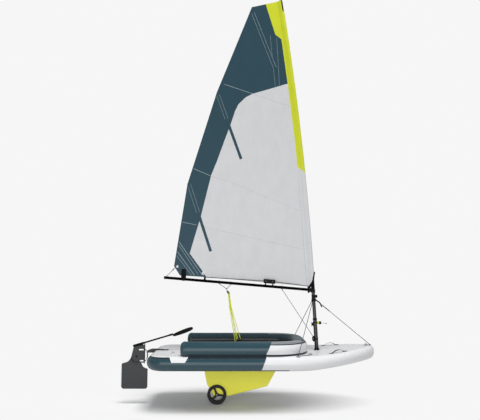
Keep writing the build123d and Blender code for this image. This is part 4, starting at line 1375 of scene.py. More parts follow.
@dataclass
class CockpitRing(Gear):
    """U-shaped inflated tube round the cockpit, with domed ends and its seam tapes."""

    radius: float = 0.12
    middle_z: float = 0.248
    foot_z: float = 0.16
    spacing: float = 0.605
    corner: float = 0.41
    front: float = 0.58
    aft: float = -1.215
    dome: float = 0.06
    sides: int = 72

    def path(self) -> list[tuple[Vector, Vector]]:
        """Centre line from the port end round the front to the starboard end.

        Returns:
            Its points, each with the outward direction.
        """
        found = []
        corner_x = self.front - self.corner
        corner_y = self.spacing - self.corner
        for step in range(24):
            x = self.aft + (corner_x - self.aft) * step / 24
            found.append((Vector((x, self.spacing, self.middle_z)), SIDEWAYS))
        for step in range(25):
            turn = math.pi / 2 * step / 24
            out = Vector((math.sin(turn), math.cos(turn), 0))
            found.append((Vector((corner_x, corner_y, self.middle_z)) + out * self.corner, out))
        for step in range(1, 4):
            y = corner_y * (1 - step / 3)
            found.append((Vector((self.front, y, self.middle_z)), Vector((1, 0, 0))))
        mirror = Vector((1, -1, 1))
        return found + [(p * mirror, out * mirror) for p, out in reversed(found[:-1])]

    def point(self, middle: Vector, out: Vector, turn: float, radius: float) -> Vector:
        """Point round the tube, never under the deck.

        Args:
            middle: Point on the centre line.
            out: Outward direction there.
            turn: Angle from outward over the top, in degrees.
            radius: Distance from the centre line.

        Returns:
            The point.
        """
        angle = math.radians(turn)
        place = middle + out * (radius * math.cos(angle)) + UPWARD * (radius * math.sin(angle))
        place.z = max(place.z, self.foot_z)
        return place

    def hoop(self, middle: Vector, out: Vector, radius: float) -> list[Vector]:
        """Points once round the tube, starting under it."""
        return [self.point(middle, out, step * 360 / self.sides - 90, radius) for step in range(self.sides)]

    def end_hoop(self, side: int, far: float, radius: float) -> list[Vector]:
        """Points round the tube's end, at a distance aft of where its dome starts."""
        return self.hoop(
            Vector((self.aft - far, side * self.spacing, self.middle_z)), SIDEWAYS * side, radius
        )

    def build(self) -> None:
        """Builds the tube and what is glued to it."""
        flat = self.radius - self.dome
        turns = [math.radians(a) for a in range(0, 90, 10)]
        rims = [(flat + self.dome * math.sin(a), self.dome * math.cos(a)) for a in turns]
        rows = [self.end_hoop(1, far, radius) for radius, far in rims]
        rows += [self.hoop(middle, out, self.radius) for middle, out in self.path()]
        rows += [self.end_hoop(-1, far, radius) for radius, far in reversed(rims)]
        self.skin(
            "cockpit_tube", rows, RingFabric(), "ring_bow", "ring_side_port", "ring_side_starboard",
            cap=True,
        )
        self.flange()

    def flange(self) -> None:
        """Glued tape that joins the tube's foot to the deck, outside it; its dark colour also paints the
        shade in the recess under the tube.
        """
        turn = math.degrees(math.asin((self.foot_z - self.middle_z) / self.radius))
        foot = self.radius * math.cos(math.radians(turn))
        rows = []
        for middle, out in self.path():
            base = Vector((middle.x, middle.y, self.foot_z))
            row = [base + out * (foot - 0.004), base + out * (foot + 0.022)]
            row.append(row[1] + UPWARD * 0.0012)
            for past, proud in ((8, 0.004), (16, 0.0012), (16, -0.002)):
                row.append(self.point(middle, out, turn + past, self.radius + proud))
            rows.append(row)
        # The dark flange is a real tape and also painted shade under the tube's overhang.
        self.skin("tube_flange_and_painted_shade", rows, PVC_DARK, cap=True)


@dataclass
class MastLine:
    """Raked mast, straight in its lower part and bending aft above."""

    lines: HullLines
    foot_x: float = 0.875
    rake: float = 2.85
    straight: float = 0.9
    bend: float = 52.0
    length: float = 5.96

    def place(self, up: float) -> tuple[Vector, Vector, Vector]:
        """Point on the mast's line, with its aft and upward directions.

        Args:
            up: Distance up from the deck.

        Returns:
            The point, the aft direction and the upward direction.
        """
        rake = math.radians(self.rake)
        along = central(-math.sin(rake), math.cos(rake))
        aft = central(-math.cos(rake), -math.sin(rake))
        foot = central(self.foot_x, self.lines.deck_z(self.foot_x))
        if up <= self.straight:
            return foot + along * up, aft, along
        centre = foot + along * self.straight + aft * self.bend
        turn = rake + (up - self.straight) / self.bend
        aft = central(-math.cos(turn), -math.sin(turn))
        return centre - aft * self.bend, aft, central(-math.sin(turn), math.cos(turn))

    def onto(self, up: float) -> Placer:
        """Turns distances aft, up and to port of a height on the mast into a point."""
        return placer(*self.place(up))


def inside(x: float, z: float, outline: Sequence[Pair]) -> bool:
    """Whether a place of the sail lies inside an outline.

    Args:
        x: Place along the boat.
        z: Height.
        outline: Corners of the outline.

    Returns:
        True inside.
    """
    odd = False
    for (ax, az), (bx, bz) in zip(outline, [*outline[1:], outline[0]]):
        if (az > z) != (bz > z) and x < (bx - ax) * (z - az) / (bz - az) + ax:
            odd = not odd
    return odd


def cut_along(shape: bmesh.types.BMesh, start: Pair, end: Pair, clear: bool = False) -> None:
    """Cuts a mesh along an upright line of the sail's plane.

    Args:
        shape: The mesh.
        start: A place on the line.
        end: Another place on it.
        clear: Removes what lies to the right of the line seen from start to end.
    """
    normal = central(end[1] - start[1], start[0] - end[0]).normalized()
    bmesh.ops.bisect_plane(
        shape, geom=[*shape.verts, *shape.edges, *shape.faces], dist=1e-5,
        plane_co=central(*start), plane_no=normal, clear_outer=clear,
    )


@dataclass
class Sail(Gear):
    """Panelled sail with its luff sleeve, seams, battens and corner fittings."""

    mast: MastLine
    draft: float = 0.06
    cloth: float = 0.0012
    tail: float = 0.062
    sleeve_start: float = 1.04
    sleeve_radius: float = 0.033
    sleeve_open: float = 5.76
    grid: float = 0.06
    head: Pair = (-0.166, 6.006)
    leech_upper: Pair = (-0.771, 4.486)
    leech_middle: Pair = (-1.257, 2.892)
    clew: Pair = (-1.462, 1.517)
    foot_aft: Pair = (-1.362, 1.363)
    foot_middle: Pair = (-0.933, 1.334)
    tack: Pair = (0.730, 1.186)
    body = Body.RIG

    def __post_init__(self) -> None:
        """Works out the camber's cylinder from the luff and the clew."""
        low, high = (
            point + aft * self.tail
            for point, aft, along in self.luff((self.sleeve_start, self.mast.length))
        )
        along = (high - low).normalized()
        self.back = central(-along.z, along.x)
        self.base = low
        self.chord = (central(*self.clew) - low).dot(self.back)
        self.round = self.chord ** 2 / (8 * self.draft)

    def luff(self, heights: Sequence[float]) -> list[tuple[Vector, Vector, Vector]]:
        """Places on the mast at heights along it."""
        return [self.mast.place(up) for up in heights]

    def steps_up(self, count: int) -> list[float]:
        """Heights along the mast from the sleeve's start to its end."""
        return [
            self.sleeve_start + (self.mast.length - self.sleeve_start) * i / count for i in range(count + 1)
        ]

    def belly(self, x: float, z: float) -> float:
        """Sideways place of the cloth's middle."""
        behind = (central(x, z) - self.base).dot(self.back)
        return math.sqrt(self.round ** 2 - (behind - self.chord / 2) ** 2) - (self.round - self.draft)

    def on_cloth(self, x: float, z: float) -> Vector:
        """Point in the middle of the cloth."""
        return Vector((x, self.belly(x, z), z))

    def acid_panel(self) -> list[Pair]:
        """Outline of the bright strip along the upper luff."""
        return [
            (0.02, 6.30), (0.080, 6.033), (0.236, 5.498), (0.341, 5.407), (0.441, 4.618), (0.552, 3.637),
            (0.582, 3.2935), (0.589, 3.1825), (0.717, 3.068), (0.90, 3.045), (1.2, 3.3), (0.6, 6.3),
        ]

    def petrol_panel(self) -> list[Pair]:
        """Outline of the dark head, leech and clew."""
        return [
            (0.080, 6.30), (0.080, 6.033), (0.236, 5.498), (0.341, 5.407), (0.441, 4.618), (-0.153, 4.456),
            (-0.276, 4.395), (-0.397, 4.277), (-0.458, 4.153), (-0.536, 3.913), (-0.6385, 3.637),
            (-0.760, 3.2935), (-0.860, 3.043), (-1.026, 2.354), (-1.207, 1.726), (-0.951, 1.374),
            (-0.93, 1.25), (-1.9, 1.25), (-1.9, 6.3),
        ]

    def outline(self) -> list[Pair]:
        """Outline of the cloth behind the sleeve.

        Returns:
            Its corners.
        """
        luff = [point + aft * (self.tail - 0.012) for point, aft, along in self.luff(self.steps_up(60))]
        leech = [self.head, self.leech_upper, self.leech_middle, self.clew]
        return [(p.x, p.z) for p in luff] + leech + [self.foot_aft, self.foot_middle, self.tack]

    def coloured(self, shape: bmesh.types.BMesh) -> None:
        """Splits a mesh along the panels' borders and gives each face its panel's material.

        Args:
            shape: The mesh.
        """
        panels = (self.petrol_panel(), self.acid_panel())
        for outline in panels:
            for start, end in zip(outline, [*outline[1:], outline[0]]):
                cut_along(shape, start, end)
        for face in shape.faces:
            middle = face.calc_center_median()
            for index, outline in enumerate(panels, start=1):
                if inside(middle.x, middle.z, outline):
                    face.material_index = index

    def sewn(self, name: str, shape: bmesh.types.BMesh, slot: str, node: str) -> bpy.types.Object:
        """Turns a finished cloth mesh into a mounted piece in the three cloths.

        Args:
            name: The piece's name.
            shape: The mesh.
            slot: The record's material slot.
            node: The solid that it stands for.

        Returns:
            The piece.
        """
        cloths = [self.shop.made(cloth) for cloth in (CLOTH_WHITE, CLOTH_PETROL, CLOTH_ACID)]
        return self.mount(new_object(name, mesh_of(name, shape), cloths), CLOTH_WHITE, node, slot=slot)

    def build(self) -> None:
        """Builds the sail and all that is sewn to it."""
        sail = self.main_cloth()
        sleeve = self.sleeve()
        trim = self.sewing()

    def main_cloth(self) -> bpy.types.Object:
        """The cambered cloth from the sleeve to the leech.

        Returns:
            The mounted piece.
        """
        shape = bmesh.new()
        shape.faces.new([shape.verts.new((x, 0, z)) for x, z in self.outline()])
        for step in range(1, int(2.6 / self.grid)):
            x = -1.5 + step * self.grid
            cut_along(shape, (x, 0.0), (x, 1.0))
        for step in range(1, int(5.2 / self.grid)):
            z = 1.1 + step * self.grid
            cut_along(shape, (0.0, z), (1.0, z))
        self.coloured(shape)
        for vert in shape.verts:
            vert.co.y = self.belly(vert.co.x, vert.co.z) - self.cloth / 2
        bmesh.ops.recalc_face_normals(shape, faces=shape.faces)
        bmesh.ops.solidify(shape, geom=list(shape.faces), thickness=self.cloth)
        shift = sum(vert.co.y - self.belly(vert.co.x, vert.co.z) for vert in shape.verts) / len(shape.verts)
        for vert in shape.verts:
            vert.co.y -= shift
        return self.sewn("sail_cloth", shape, "sail_cloth", "sail")

    def sleeve(self) -> bpy.types.Object:
        """Sleeve round the mast, cut back at the tack and open in front at its top.

        Returns:
            The mounted piece.
        """
        shape = bmesh.new()
        tangent = math.degrees(math.acos(self.sleeve_radius / self.tail))
        turns = [math.radians(tangent + (360 - 2 * tangent) * i / 22) for i in range(23)]
        rows = []
        for up in self.steps_up(90):
            place, aft, along = self.mast.place(up)
            end = self.on_cloth(*(place + aft * self.tail).xz)
            far = self.sleeve_radius * (1 + 0.02 * math.sin(up * 41) * math.sin(up * 17))
            hoop = [
                place + aft * (far * math.cos(turn)) + SIDEWAYS * (far * math.sin(turn)) for turn in turns
            ]
            row = [end + SIDEWAYS * self.cloth, *hoop, end - SIDEWAYS * self.cloth]
            rows.append([shape.verts.new(p) for p in row])
        quads(shape, rows)
        edge = [(0.7365, 1.1505), (0.775, 1.206), (0.820, 1.276), (0.8365, 1.369), (0.851, 1.418)]
        for start, end in zip(edge, edge[1:]):
            cut_along(shape, start, end, clear=True)
        self.coloured(shape)
        self.open_top(shape)
        bmesh.ops.recalc_face_normals(shape, faces=shape.faces)
        bmesh.ops.solidify(shape, geom=list(shape.faces), thickness=self.cloth * 0.8)
        return self.sewn("luff_sleeve_cloth", shape, "sleeve_cloth", "luff_sleeve")

    def open_top(self, shape: bmesh.types.BMesh) -> None:
        """Takes away the front of the sleeve round the mast's end.

        Args:
            shape: The sleeve's mesh.
        """
        for up in (self.sleeve_open, self.mast.length):
            place, aft, along = self.mast.place(up)
            cut_along(shape, place.xz, (place.x + aft.x, place.z + aft.z))
        top = place
        place, aft, along = self.mast.place(self.sleeve_open)
        cut_along(shape, place.xz, top.xz)
        gone = []
        for face in shape.faces:
            away = face.calc_center_median() - place
            if away.dot(along) > 0 and away.dot(aft) - away.dot(along) ** 2 / 104 < 0:
                gone.append(face)
        bmesh.ops.delete(shape, geom=gone, context="FACES")

    def strip(
        self, name: str, places: Sequence[Pair], width: float, proud: float, finish: Finish
    ) -> bpy.types.Object:
        """Tape, batten pocket or hem on both faces of the cloth.

        Args:
            name: The piece's name.
            places: Its middle line.
            width: Its width.
            proud: How far it stands off the cloth.
            finish: Its cloth.

        Returns:
            The piece.
        """
        path = []
        for (ax, az), (bx, bz) in zip(places, places[1:]):
            count = max(1, int(math.hypot(bx - ax, bz - az) / 0.06))
            path += [central(ax + (bx - ax) * i / count, az + (bz - az) * i / count) for i in range(count)]
        path.append(central(*places[-1]))
        section = (
            (-1, 0.4), (-0.85, 1), (0.85, 1), (1, 0.4), (1, -0.4), (0.85, -1), (-0.85, -1), (-1, -0.4)
        )
        rows = []
        for i, point in enumerate(path):
            ahead = (path[min(i + 1, len(path) - 1)] - path[max(i - 1, 0)]).normalized()
            across = central(-ahead.z, ahead.x) * (width / 2)
            row = []
            for share, lift in section:
                off = SIDEWAYS * ((self.cloth / 2 + proud) * lift)
                row.append(self.on_cloth(*(point + across * share).xz) + off)
            rows.append(row)
        return self.mount(
            new_object(name, grid_mesh(name, rows, wrap=True, cap=True), [self.shop.made(finish)]), finish
        )

    def sewing(self) -> list[bpy.types.Object]:
        """Seams, battens with their pockets, hems and rings.

        Returns:
            The mounted pieces.
        """
        inward = [
            (x + 0.011, z - 0.002) for x, z in (self.head, self.leech_upper, self.leech_middle, self.clew)
        ]
        stitched = (
            ("seam_head_aft", [(-0.650, 4.632), (-0.153, 4.456)], 0.009, 0.0003),
            ("seam_middle_aft", [(-1.160, 3.155), (-0.877, 3.034)], 0.009, 0.0003),
            ("seam_low_aft", [(-1.332, 2.244), (-1.102, 2.201)], 0.009, 0.0003),
            ("clew_seam_a", [(-1.394, 1.930), (-1.000, 1.369)], 0.010, 0.0004),
            ("clew_seam_b", [(-1.402, 1.880), (-1.060, 1.366)], 0.007, 0.0004),
            ("clew_seam_c", [(-1.420, 1.766), (-1.119, 1.358)], 0.010, 0.0004),
            ("clew_seam_d", [(-1.430, 1.700), (-1.160, 1.352)], 0.007, 0.0004),
            ("luff_seam_aft", [(0.149, 5.480), (0.232, 4.556)], 0.005, 0.0003),
            ("luff_seam_fore", [(0.260, 5.440), (0.303, 4.575)], 0.005, 0.0003),
        )
        pale = (
            ("seam_head", [(-0.145, 4.453), (0.308, 4.279), (0.470, 4.235)], 0.010, 0.0003),
            ("seam_middle", [(-0.869, 3.031), (-0.517, 2.922), (0.658, 2.423)], 0.010, 0.0003),
            ("seam_low", [(-1.066, 2.192), (0.669, 1.794)], 0.010, 0.0003),
            ("sleeve_seam", [(0.599, 3.113), (0.727, 1.191)], 0.012, 0.0004),
        )
        dark = (
            ("batten_upper", [(-0.760, 4.463), (-0.3545, 3.324)], 0.047, 0.0022),
            ("batten_lower", [(-1.238, 2.905), (-0.861, 1.761)], 0.047, 0.0022),
            ("batten_head", [(-0.155, 5.918), (0.232, 4.888)], 0.044, 0.0022),
            ("leech_hem", inward, 0.018, 0.0005),
            ("foot_hem_aft", [(-1.358, 1.372), (-0.935, 1.343)], 0.018, 0.0005),
            ("clew_hem", [(-1.454, 1.517), (-1.358, 1.370)], 0.018, 0.0005),
        )
        white = (("foot_hem", [(-0.925, 1.343), (0.735, 1.193)], 0.018, 0.0005),)
        kinds = (
            (stitched, CLOTH_SEAM_PETROL), (pale, CLOTH_SEAM), (dark, CLOTH_PETROL), (white, CLOTH_WHITE)
        )
        pieces = [self.strip(*row, finish) for rows, finish in kinds for row in rows]
        for (name, (start, end), width, proud), share in zip(dark, (0.39, 0.43, 0.98)):
            pieces += self.pocket(name.replace("batten", "pocket"), central(*start), central(*end), share)
        for name, x, z, size in (("clew_ring", -1.410, 1.507, 0.019), ("patch_ring", -0.980, 1.396, 0.026)):
            profile = [
                (size * 0.3, -0.003), (size, -0.003), (size * 1.15, 0.0), (size, 0.003),
                (size * 0.3, 0.003), (size * 0.24, 0.0),
            ]
            place = self.on_cloth(x, z)
            pieces.append(self.turn(
                name, place, SIDEWAYS, profile, VALVE_WHITE, 24, closed=True, slot="fitting_steel"
            ))
        return pieces

    def pocket(self, name: str, start: Vector, end: Vector, share: float) -> list[bpy.types.Object]:
        """Stitching along both edges of a batten pocket.

        Args:
            name: What the pieces' names start with.
            start: The batten's end at the leech.
            end: Its other end.
            share: How much of its length is stitched.

        Returns:
            The two lines of stitching.
        """
        along = end - start
        across = central(-along.z, along.x).normalized()
        pieces = []
        for edge, off in (("aft", -0.0255), ("fore", 0.0255)):
            line = [(start + across * off + along * part).xz for part in (0.02, share)]
            pieces.append(self.strip(f"{name}_{edge}", line, 0.006, 0.0004, CLOTH_SEAM_PETROL))
        return pieces


def stadium(
    middle: Vector, along: Vector, across: Vector, length: float, width: float, steps: int = 8
) -> list[Vector]:
    """Points of a loop with two straight sides and round ends.

    Args:
        middle: Its middle.
        along: Direction of its length.
        across: Direction of its width.
        length: Length over the round ends.
        width: Distance between the straight sides.
        steps: Points on each round end.

    Returns:
        The points in order.
    """
    found = []
    straight = (length - width) / 2
    for end in (1, -1):
        for step in range(steps + 1):
            turn = math.pi * (step / steps - 0.5)
            far = straight + width / 2 * math.cos(turn)
            found.append(middle + (along * far + across * (width / 2 * math.sin(turn))) * end)
    return found


def dome(radius: float, height: float) -> list[Pair]:
    """Profile of a bolt head or button."""
    return [(radius, -0.001), (radius, height * 0.4), (radius * 0.8, height * 0.85), (radius * 0.3, height)]


def ball(radius: float) -> list[Pair]:
    """Profile of a ball about its middle."""
    turns = [math.radians(3 + 174 * i / 12) for i in range(13)]
    return [(radius * math.sin(t), -radius * math.cos(t)) for t in turns]


def sheave(radius: float, width: float) -> list[Pair]:
    """Profile of a grooved wheel, about its middle."""
    half = width / 2
    return [
        (radius * 0.25, -half), (radius, -half), (radius * 0.8, 0.0), (radius, half), (radius * 0.25, half)
    ]


def rod(radius: float, length: float) -> list[Pair]:
    """Profile of a plain round bar."""
    return [(radius, 0), (radius, length)]


def both_ends(half: Sequence[Pair]) -> list[Pair]:
    """Outline or profile whose second half mirrors its first, in the second number."""
    return [*half, *((a, -b) for a, b in reversed(half))]


@dataclass
class MastGear(Gear):
    """Fittings on the mast: joint ring, cleat, vang block, front bracket, top plug and wind indicator."""

    mast: MastLine
    ring_up: float = 0.48
    cleat_up: float = 0.412
    block_up: float = 0.178
    bracket_up: float = 0.860
    lining_up: Pair = (0.976, 1.265)
    vane_up: float = 0.44
    vane_tip: Point = (0.182, 0.0, -0.016)
    body = Body.RIG

    def build(self) -> None:
        """Builds the fittings."""
        self.joint_ring()
        self.cleat()
        self.block()
        self.bracket()
        self.lining()
        self.top()
        self.wind_indicator()

    def collar(
        self, name: str, up: float, profile: Sequence[Pair], finish: Finish, *nodes: str, sides: int = 40
    ) -> None:
        """Ring round the mast at a height."""
        point, aft, along = self.mast.place(up)
        self.turn(name, point, along, profile, finish, sides, *nodes, closed=True)

    def joint_ring(self) -> None:
        """Rubbed ring where the two mast lengths meet."""
        profile = [
            (0.029, -0.002), (0.0335, -0.001), (0.0352, 0.004), (0.0352, 0.010), (0.0335, 0.0125),
            (0.0352, 0.015), (0.0352, 0.022), (0.0335, 0.027), (0.029, 0.028),
        ]
        self.collar("mast_joint_ring", self.ring_up, profile, BLACK_PLASTIC, "mast_ring")

    def cleat(self) -> None:
        """Horn cleat on the aft side of the mast."""
        onto = self.mast.onto(self.cleat_up)
        base = both_ends([(0.029, -0.034), (0.039, -0.032), (0.044, -0.014)])
        horn = [
            (0.038, -0.010), (0.048, -0.016), (0.053, -0.034), (0.061, -0.033), (0.061, 0.0),
            (0.061, 0.033), (0.053, 0.034), (0.048, 0.016), (0.038, 0.010),
        ]
        self.plate("cleat_base", base, -0.012, 0.012, BLACK_PLASTIC, 0.002, onto, "mast_cleat")
        self.plate("cleat_horns", horn, -0.006, 0.006, BLACK_PLASTIC, 0.002, onto)
        for name, up in (("cleat_screw_low", -0.022), ("cleat_screw_high", 0.022)):
            self.turn(
                name, onto(0.036, up, 0), onto(1, 0, 0) - onto(0, 0, 0), dome(0.004, 0.003), STEEL_FINISH,
                12,
            )

    def block(self) -> None:
        """Block low on the mast that the vang runs to, with its strop."""
        onto = self.mast.onto(self.block_up)
        cheek = [
            (0.030, -0.040), (0.048, -0.044), (0.066, -0.014), (0.064, 0.022), (0.050, 0.044),
            (0.034, 0.046),
        ]
        self.plates("vang_block", cheek, 0.008, 0.013, BLACK_PLASTIC, 0.0015, onto, "mast_block")
        self.turn(
            "vang_sheave", onto(0.048, 0.004, 0), SIDEWAYS, sheave(0.019, 0.013), GREY_BALL, 24, closed=True
        )
        self.turn("vang_pin", onto(0.048, 0.004, -0.0145), SIDEWAYS, rod(0.005, 0.029), STEEL_FINISH, 16)
        self.collar(
            "vang_strop", self.block_up, both_ends([(0.0325, -0.010), (0.0345, -0.010)]), BLACK_WEB,
            sides=32,
        )

    def bracket(self) -> None:
        """Small two-cheek bracket on the front of the mast above the stay band."""
        onto = self.mast.onto(self.bracket_up)
        cheek = [
            (-0.027, -0.025), (-0.052, -0.024), (-0.064, -0.012), (-0.066, 0.010), (-0.054, 0.025),
            (-0.027, 0.025),
        ]
        self.plates("bracket", cheek, 0.006, 0.012, BLACK_PLASTIC, 0.0015, onto, "front_fitting")
        self.collar(
            "bracket_band", self.bracket_up, both_ends([(0.0287, -0.025), (0.0312, -0.023)]), BLACK_PLASTIC
        )
        self.turn(
            "bracket_roller", onto(-0.048, 0.0, 0), SIDEWAYS, sheave(0.010, 0.011), GREY_BALL, 20,
            closed=True,
        )

    def lining(self) -> None:
        """Black lining round the mast, seen where the sleeve is cut back, and the tack's side straps."""
        length = self.lining_up[1] - self.lining_up[0]
        profile = [(0.0287, 0.0), (0.0302, 0.003), (0.0302, length - 0.003), (0.0287, length)]
        self.collar("tack_lining", self.lining_up[0], profile, BLACK_WEB)
        outline = [
            (0.741, 1.142), (0.737, 1.168), (0.772, 1.203), (0.800, 1.246), (0.815, 1.300), (0.824, 1.350),
            (0.832, 1.300), (0.825, 1.248), (0.807, 1.198), (0.776, 1.160),
        ]
        self.plates("tack_strap", outline, 0.0310, 0.0345, BLACK_WEB, 0.001)

    def top(self) -> None:
        """Rounded plug in the mast's top."""
        point, aft, along = self.mast.place(self.mast.length)
        profile = [
            (0.0284, -0.004), (0.0296, -0.002), (0.0296, 0.004), (0.026, 0.009), (0.016, 0.012),
            (0.004, 0.013),
        ]
        self.turn("mast_plug", point, along, profile, BLACK_PLASTIC)

    def wind_indicator(self) -> None:
        """Vane on a thin rod ahead of the mast, with its counterweight."""
        point = self.mast.place(self.vane_up)[0]
        reach = Vector(self.vane_tip)
        ahead = reach.normalized()
        rod_profile = rod(0.0022, reach.length - 0.031)
        vane = {"slot": "vane_green"}
        self.turn(
            "vane_rod", point + ahead * 0.031, ahead, rod_profile, BLACK_PLASTIC, 10, "wind_indicator",
            **vane,
        )
        self.collar(
            "vane_clamp", self.vane_up, both_ends([(0.0325, -0.007), (0.0345, -0.006)]), BLACK_PLASTIC,
            sides=32,
        )
        body = [
            (0.003, 0.033), (0.014, 0.036), (0.023, 0.045), (0.023, 0.058), (0.017, 0.063), (0.003, 0.064)
        ]
        self.turn("vane_body", point, ahead, body, VANE_YELLOW, 24)
        cup = [
            (0.003, 0.061), (0.018, 0.063), (0.026, 0.072), (0.026, 0.090), (0.020, 0.098), (0.003, 0.102)
        ]
        self.turn("vane_cup", point, ahead, cup, VANE_GREEN, 24)
        self.turn("vane_weight", point + reach, ahead, ball(0.0085), BLACK_PLASTIC, 20, **vane)


@dataclass
class Stays(Gear):
    """Band on the mast, two shrouds, the forestay with its screw, and where they are made fast."""

    mast: MastLine
    band_up: float = 0.806
    wall: float = 0.033
    lug: float = 0.046
    radius: float = 0.0048
    shroud_x: float = 0.505
    shroud_turn: float = 75.7
    foot_lift: float = 0.012
    forestay_x: float = 1.712
    forestay_lift: float = 0.029
    screw: Pair = (0.110, 0.230)
    patch: float = 0.038

    def foot(self, side: int) -> Vector:
        """Lower end of a stay: 1 for port, -1 for starboard, 0 for the forestay.

        Args:
            side: Which stay.

        Returns:
            The end.
        """
        lines = self.mast.lines
        if side == 0:
            return central(self.forestay_x, lines.deck_z(self.forestay_x) + self.forestay_lift)
        return lines.edge_point(lines.station(self.shroud_x), self.shroud_turn, self.foot_lift, side)

    def root(self, foot: Vector) -> Vector:
        """Point in the band's wall that faces a stay's foot."""
        middle = self.mast.place(self.band_up)[0]
        return middle + Vector((foot.x - middle.x, foot.y - middle.y, 0)).normalized() * self.wall

    def build(self) -> None:
        """Builds the band and the stays."""
        point, aft, along = self.mast.place(self.band_up)
        profile = both_ends(
            [(0.029, -0.022), (0.036, -0.022), (0.038, -0.019), (0.038, -0.014), (0.0355, -0.012)]
        )
        self.turn("stay_band", point, along, profile, BLACK_PLASTIC, 40, "stay_collar", closed=True)
        lug = [(0.0115, -0.004), (0.0115, 0.018), (0.0085, 0.028), (0.0080, self.lug)]
        swage = [(0.0058, -0.004), (0.0058, 0.030), (0.0046, 0.040)]
        end = [(0.0046, -0.105), (0.0062, -0.095), (0.0062, -0.058)]
        for name, side in (("shroud_port", 1), ("shroud_starboard", -1), ("forestay", 0)):
            foot = self.foot(side)
            root = self.root(foot)
            ahead = (foot - root).normalized()
            start = root + ahead * self.lug
            self.turn(name + "_lug", root, ahead, lug, BLACK_PLASTIC, 16)
            self.turn(name + "_swage", start, ahead, swage, STEEL_FINISH, 16)
            self.turn(name + "_foot", foot, ahead, end, STEEL_FINISH, 16)
            if side:
                self.line(name + "_rope", [start, foot], self.radius, STAY_ROPE, 10, name)
                self.chainplate(name, side)
            else:
                self.forestay(start, foot, ahead)
        hook = [
            (0.888, 0, 0.944), (0.915, -0.004, 0.934), (0.945, -0.005, 0.900), (0.958, -0.004, 0.866),
            (0.968, -0.002, 0.848),
        ]
        self.web("stay_hook", hook, 0.010, 0.020, BLACK_PLASTIC)

    def forestay(self, start: Vector, foot: Vector, ahead: Vector) -> None:
        """Forestay in two lengths with its rigging screw between them.

        Args:
            start: Upper end.
            foot: Lower end.
            ahead: Direction downward along the stay.
        """
        low, high = self.screw
        self.line("forestay_upper", [start, start + ahead * low], self.radius, STAY_ROPE, 10, "forestay")
        self.line("forestay_lower", [start + ahead * high, foot], self.radius, STAY_ROPE)
        length = high - low
        body = [
            (0.0045, -0.012), (0.0075, -0.008), (0.0085, 0.004), (0.0070, 0.014), (0.0070, length * 0.45),
            (0.0095, length * 0.5), (0.0070, length * 0.55), (0.0070, length - 0.014),
            (0.0085, length - 0.004), (0.0075, length + 0.008), (0.0045, length + 0.012),
        ]
        self.turn("rigging_screw", start + ahead * low, ahead, body, SCREW_BRONZE, 20)

    def chainplate(self, name: str, side: int) -> None:
        """Round patch on the hull's edge with a rim and a steel eye.

        Args:
            name: The shroud's name.
            side: 1 for port, -1 for starboard.
        """
        lines = self.mast.lines
        rings = (
            (0.002, 0.0060), (0.5, 0.0060), (0.72, 0.0055), (0.74, 0.0038), (0.97, 0.0036), (1.0, 0.0025),
            (1.02, -0.002),
        )
        rows = []
        for share, proud in rings:
            row = []
            for a, b in circle(self.patch * share, 36):
                station = lines.station(self.shroud_x + a)
                row.append(
                    lines.edge_point(station, self.shroud_turn + math.degrees(b / station[4]), proud, side)
                )
            rows.append(row)
        self.skin(name + "_patch", rows, PVC_GREY, name.replace("shroud", "chainplate"), cap=True)
        foot = self.foot(side)
        ahead = (foot - self.root(foot)).normalized()
        fore = Vector((1, 0, 0))
        eye = stadium(foot - ahead * 0.020, ahead, fore, 0.062, 0.022)
        self.loop(name + "_eye", eye, ahead.cross(fore).normalized(), circle(0.0032, 10), STEEL_FINISH)


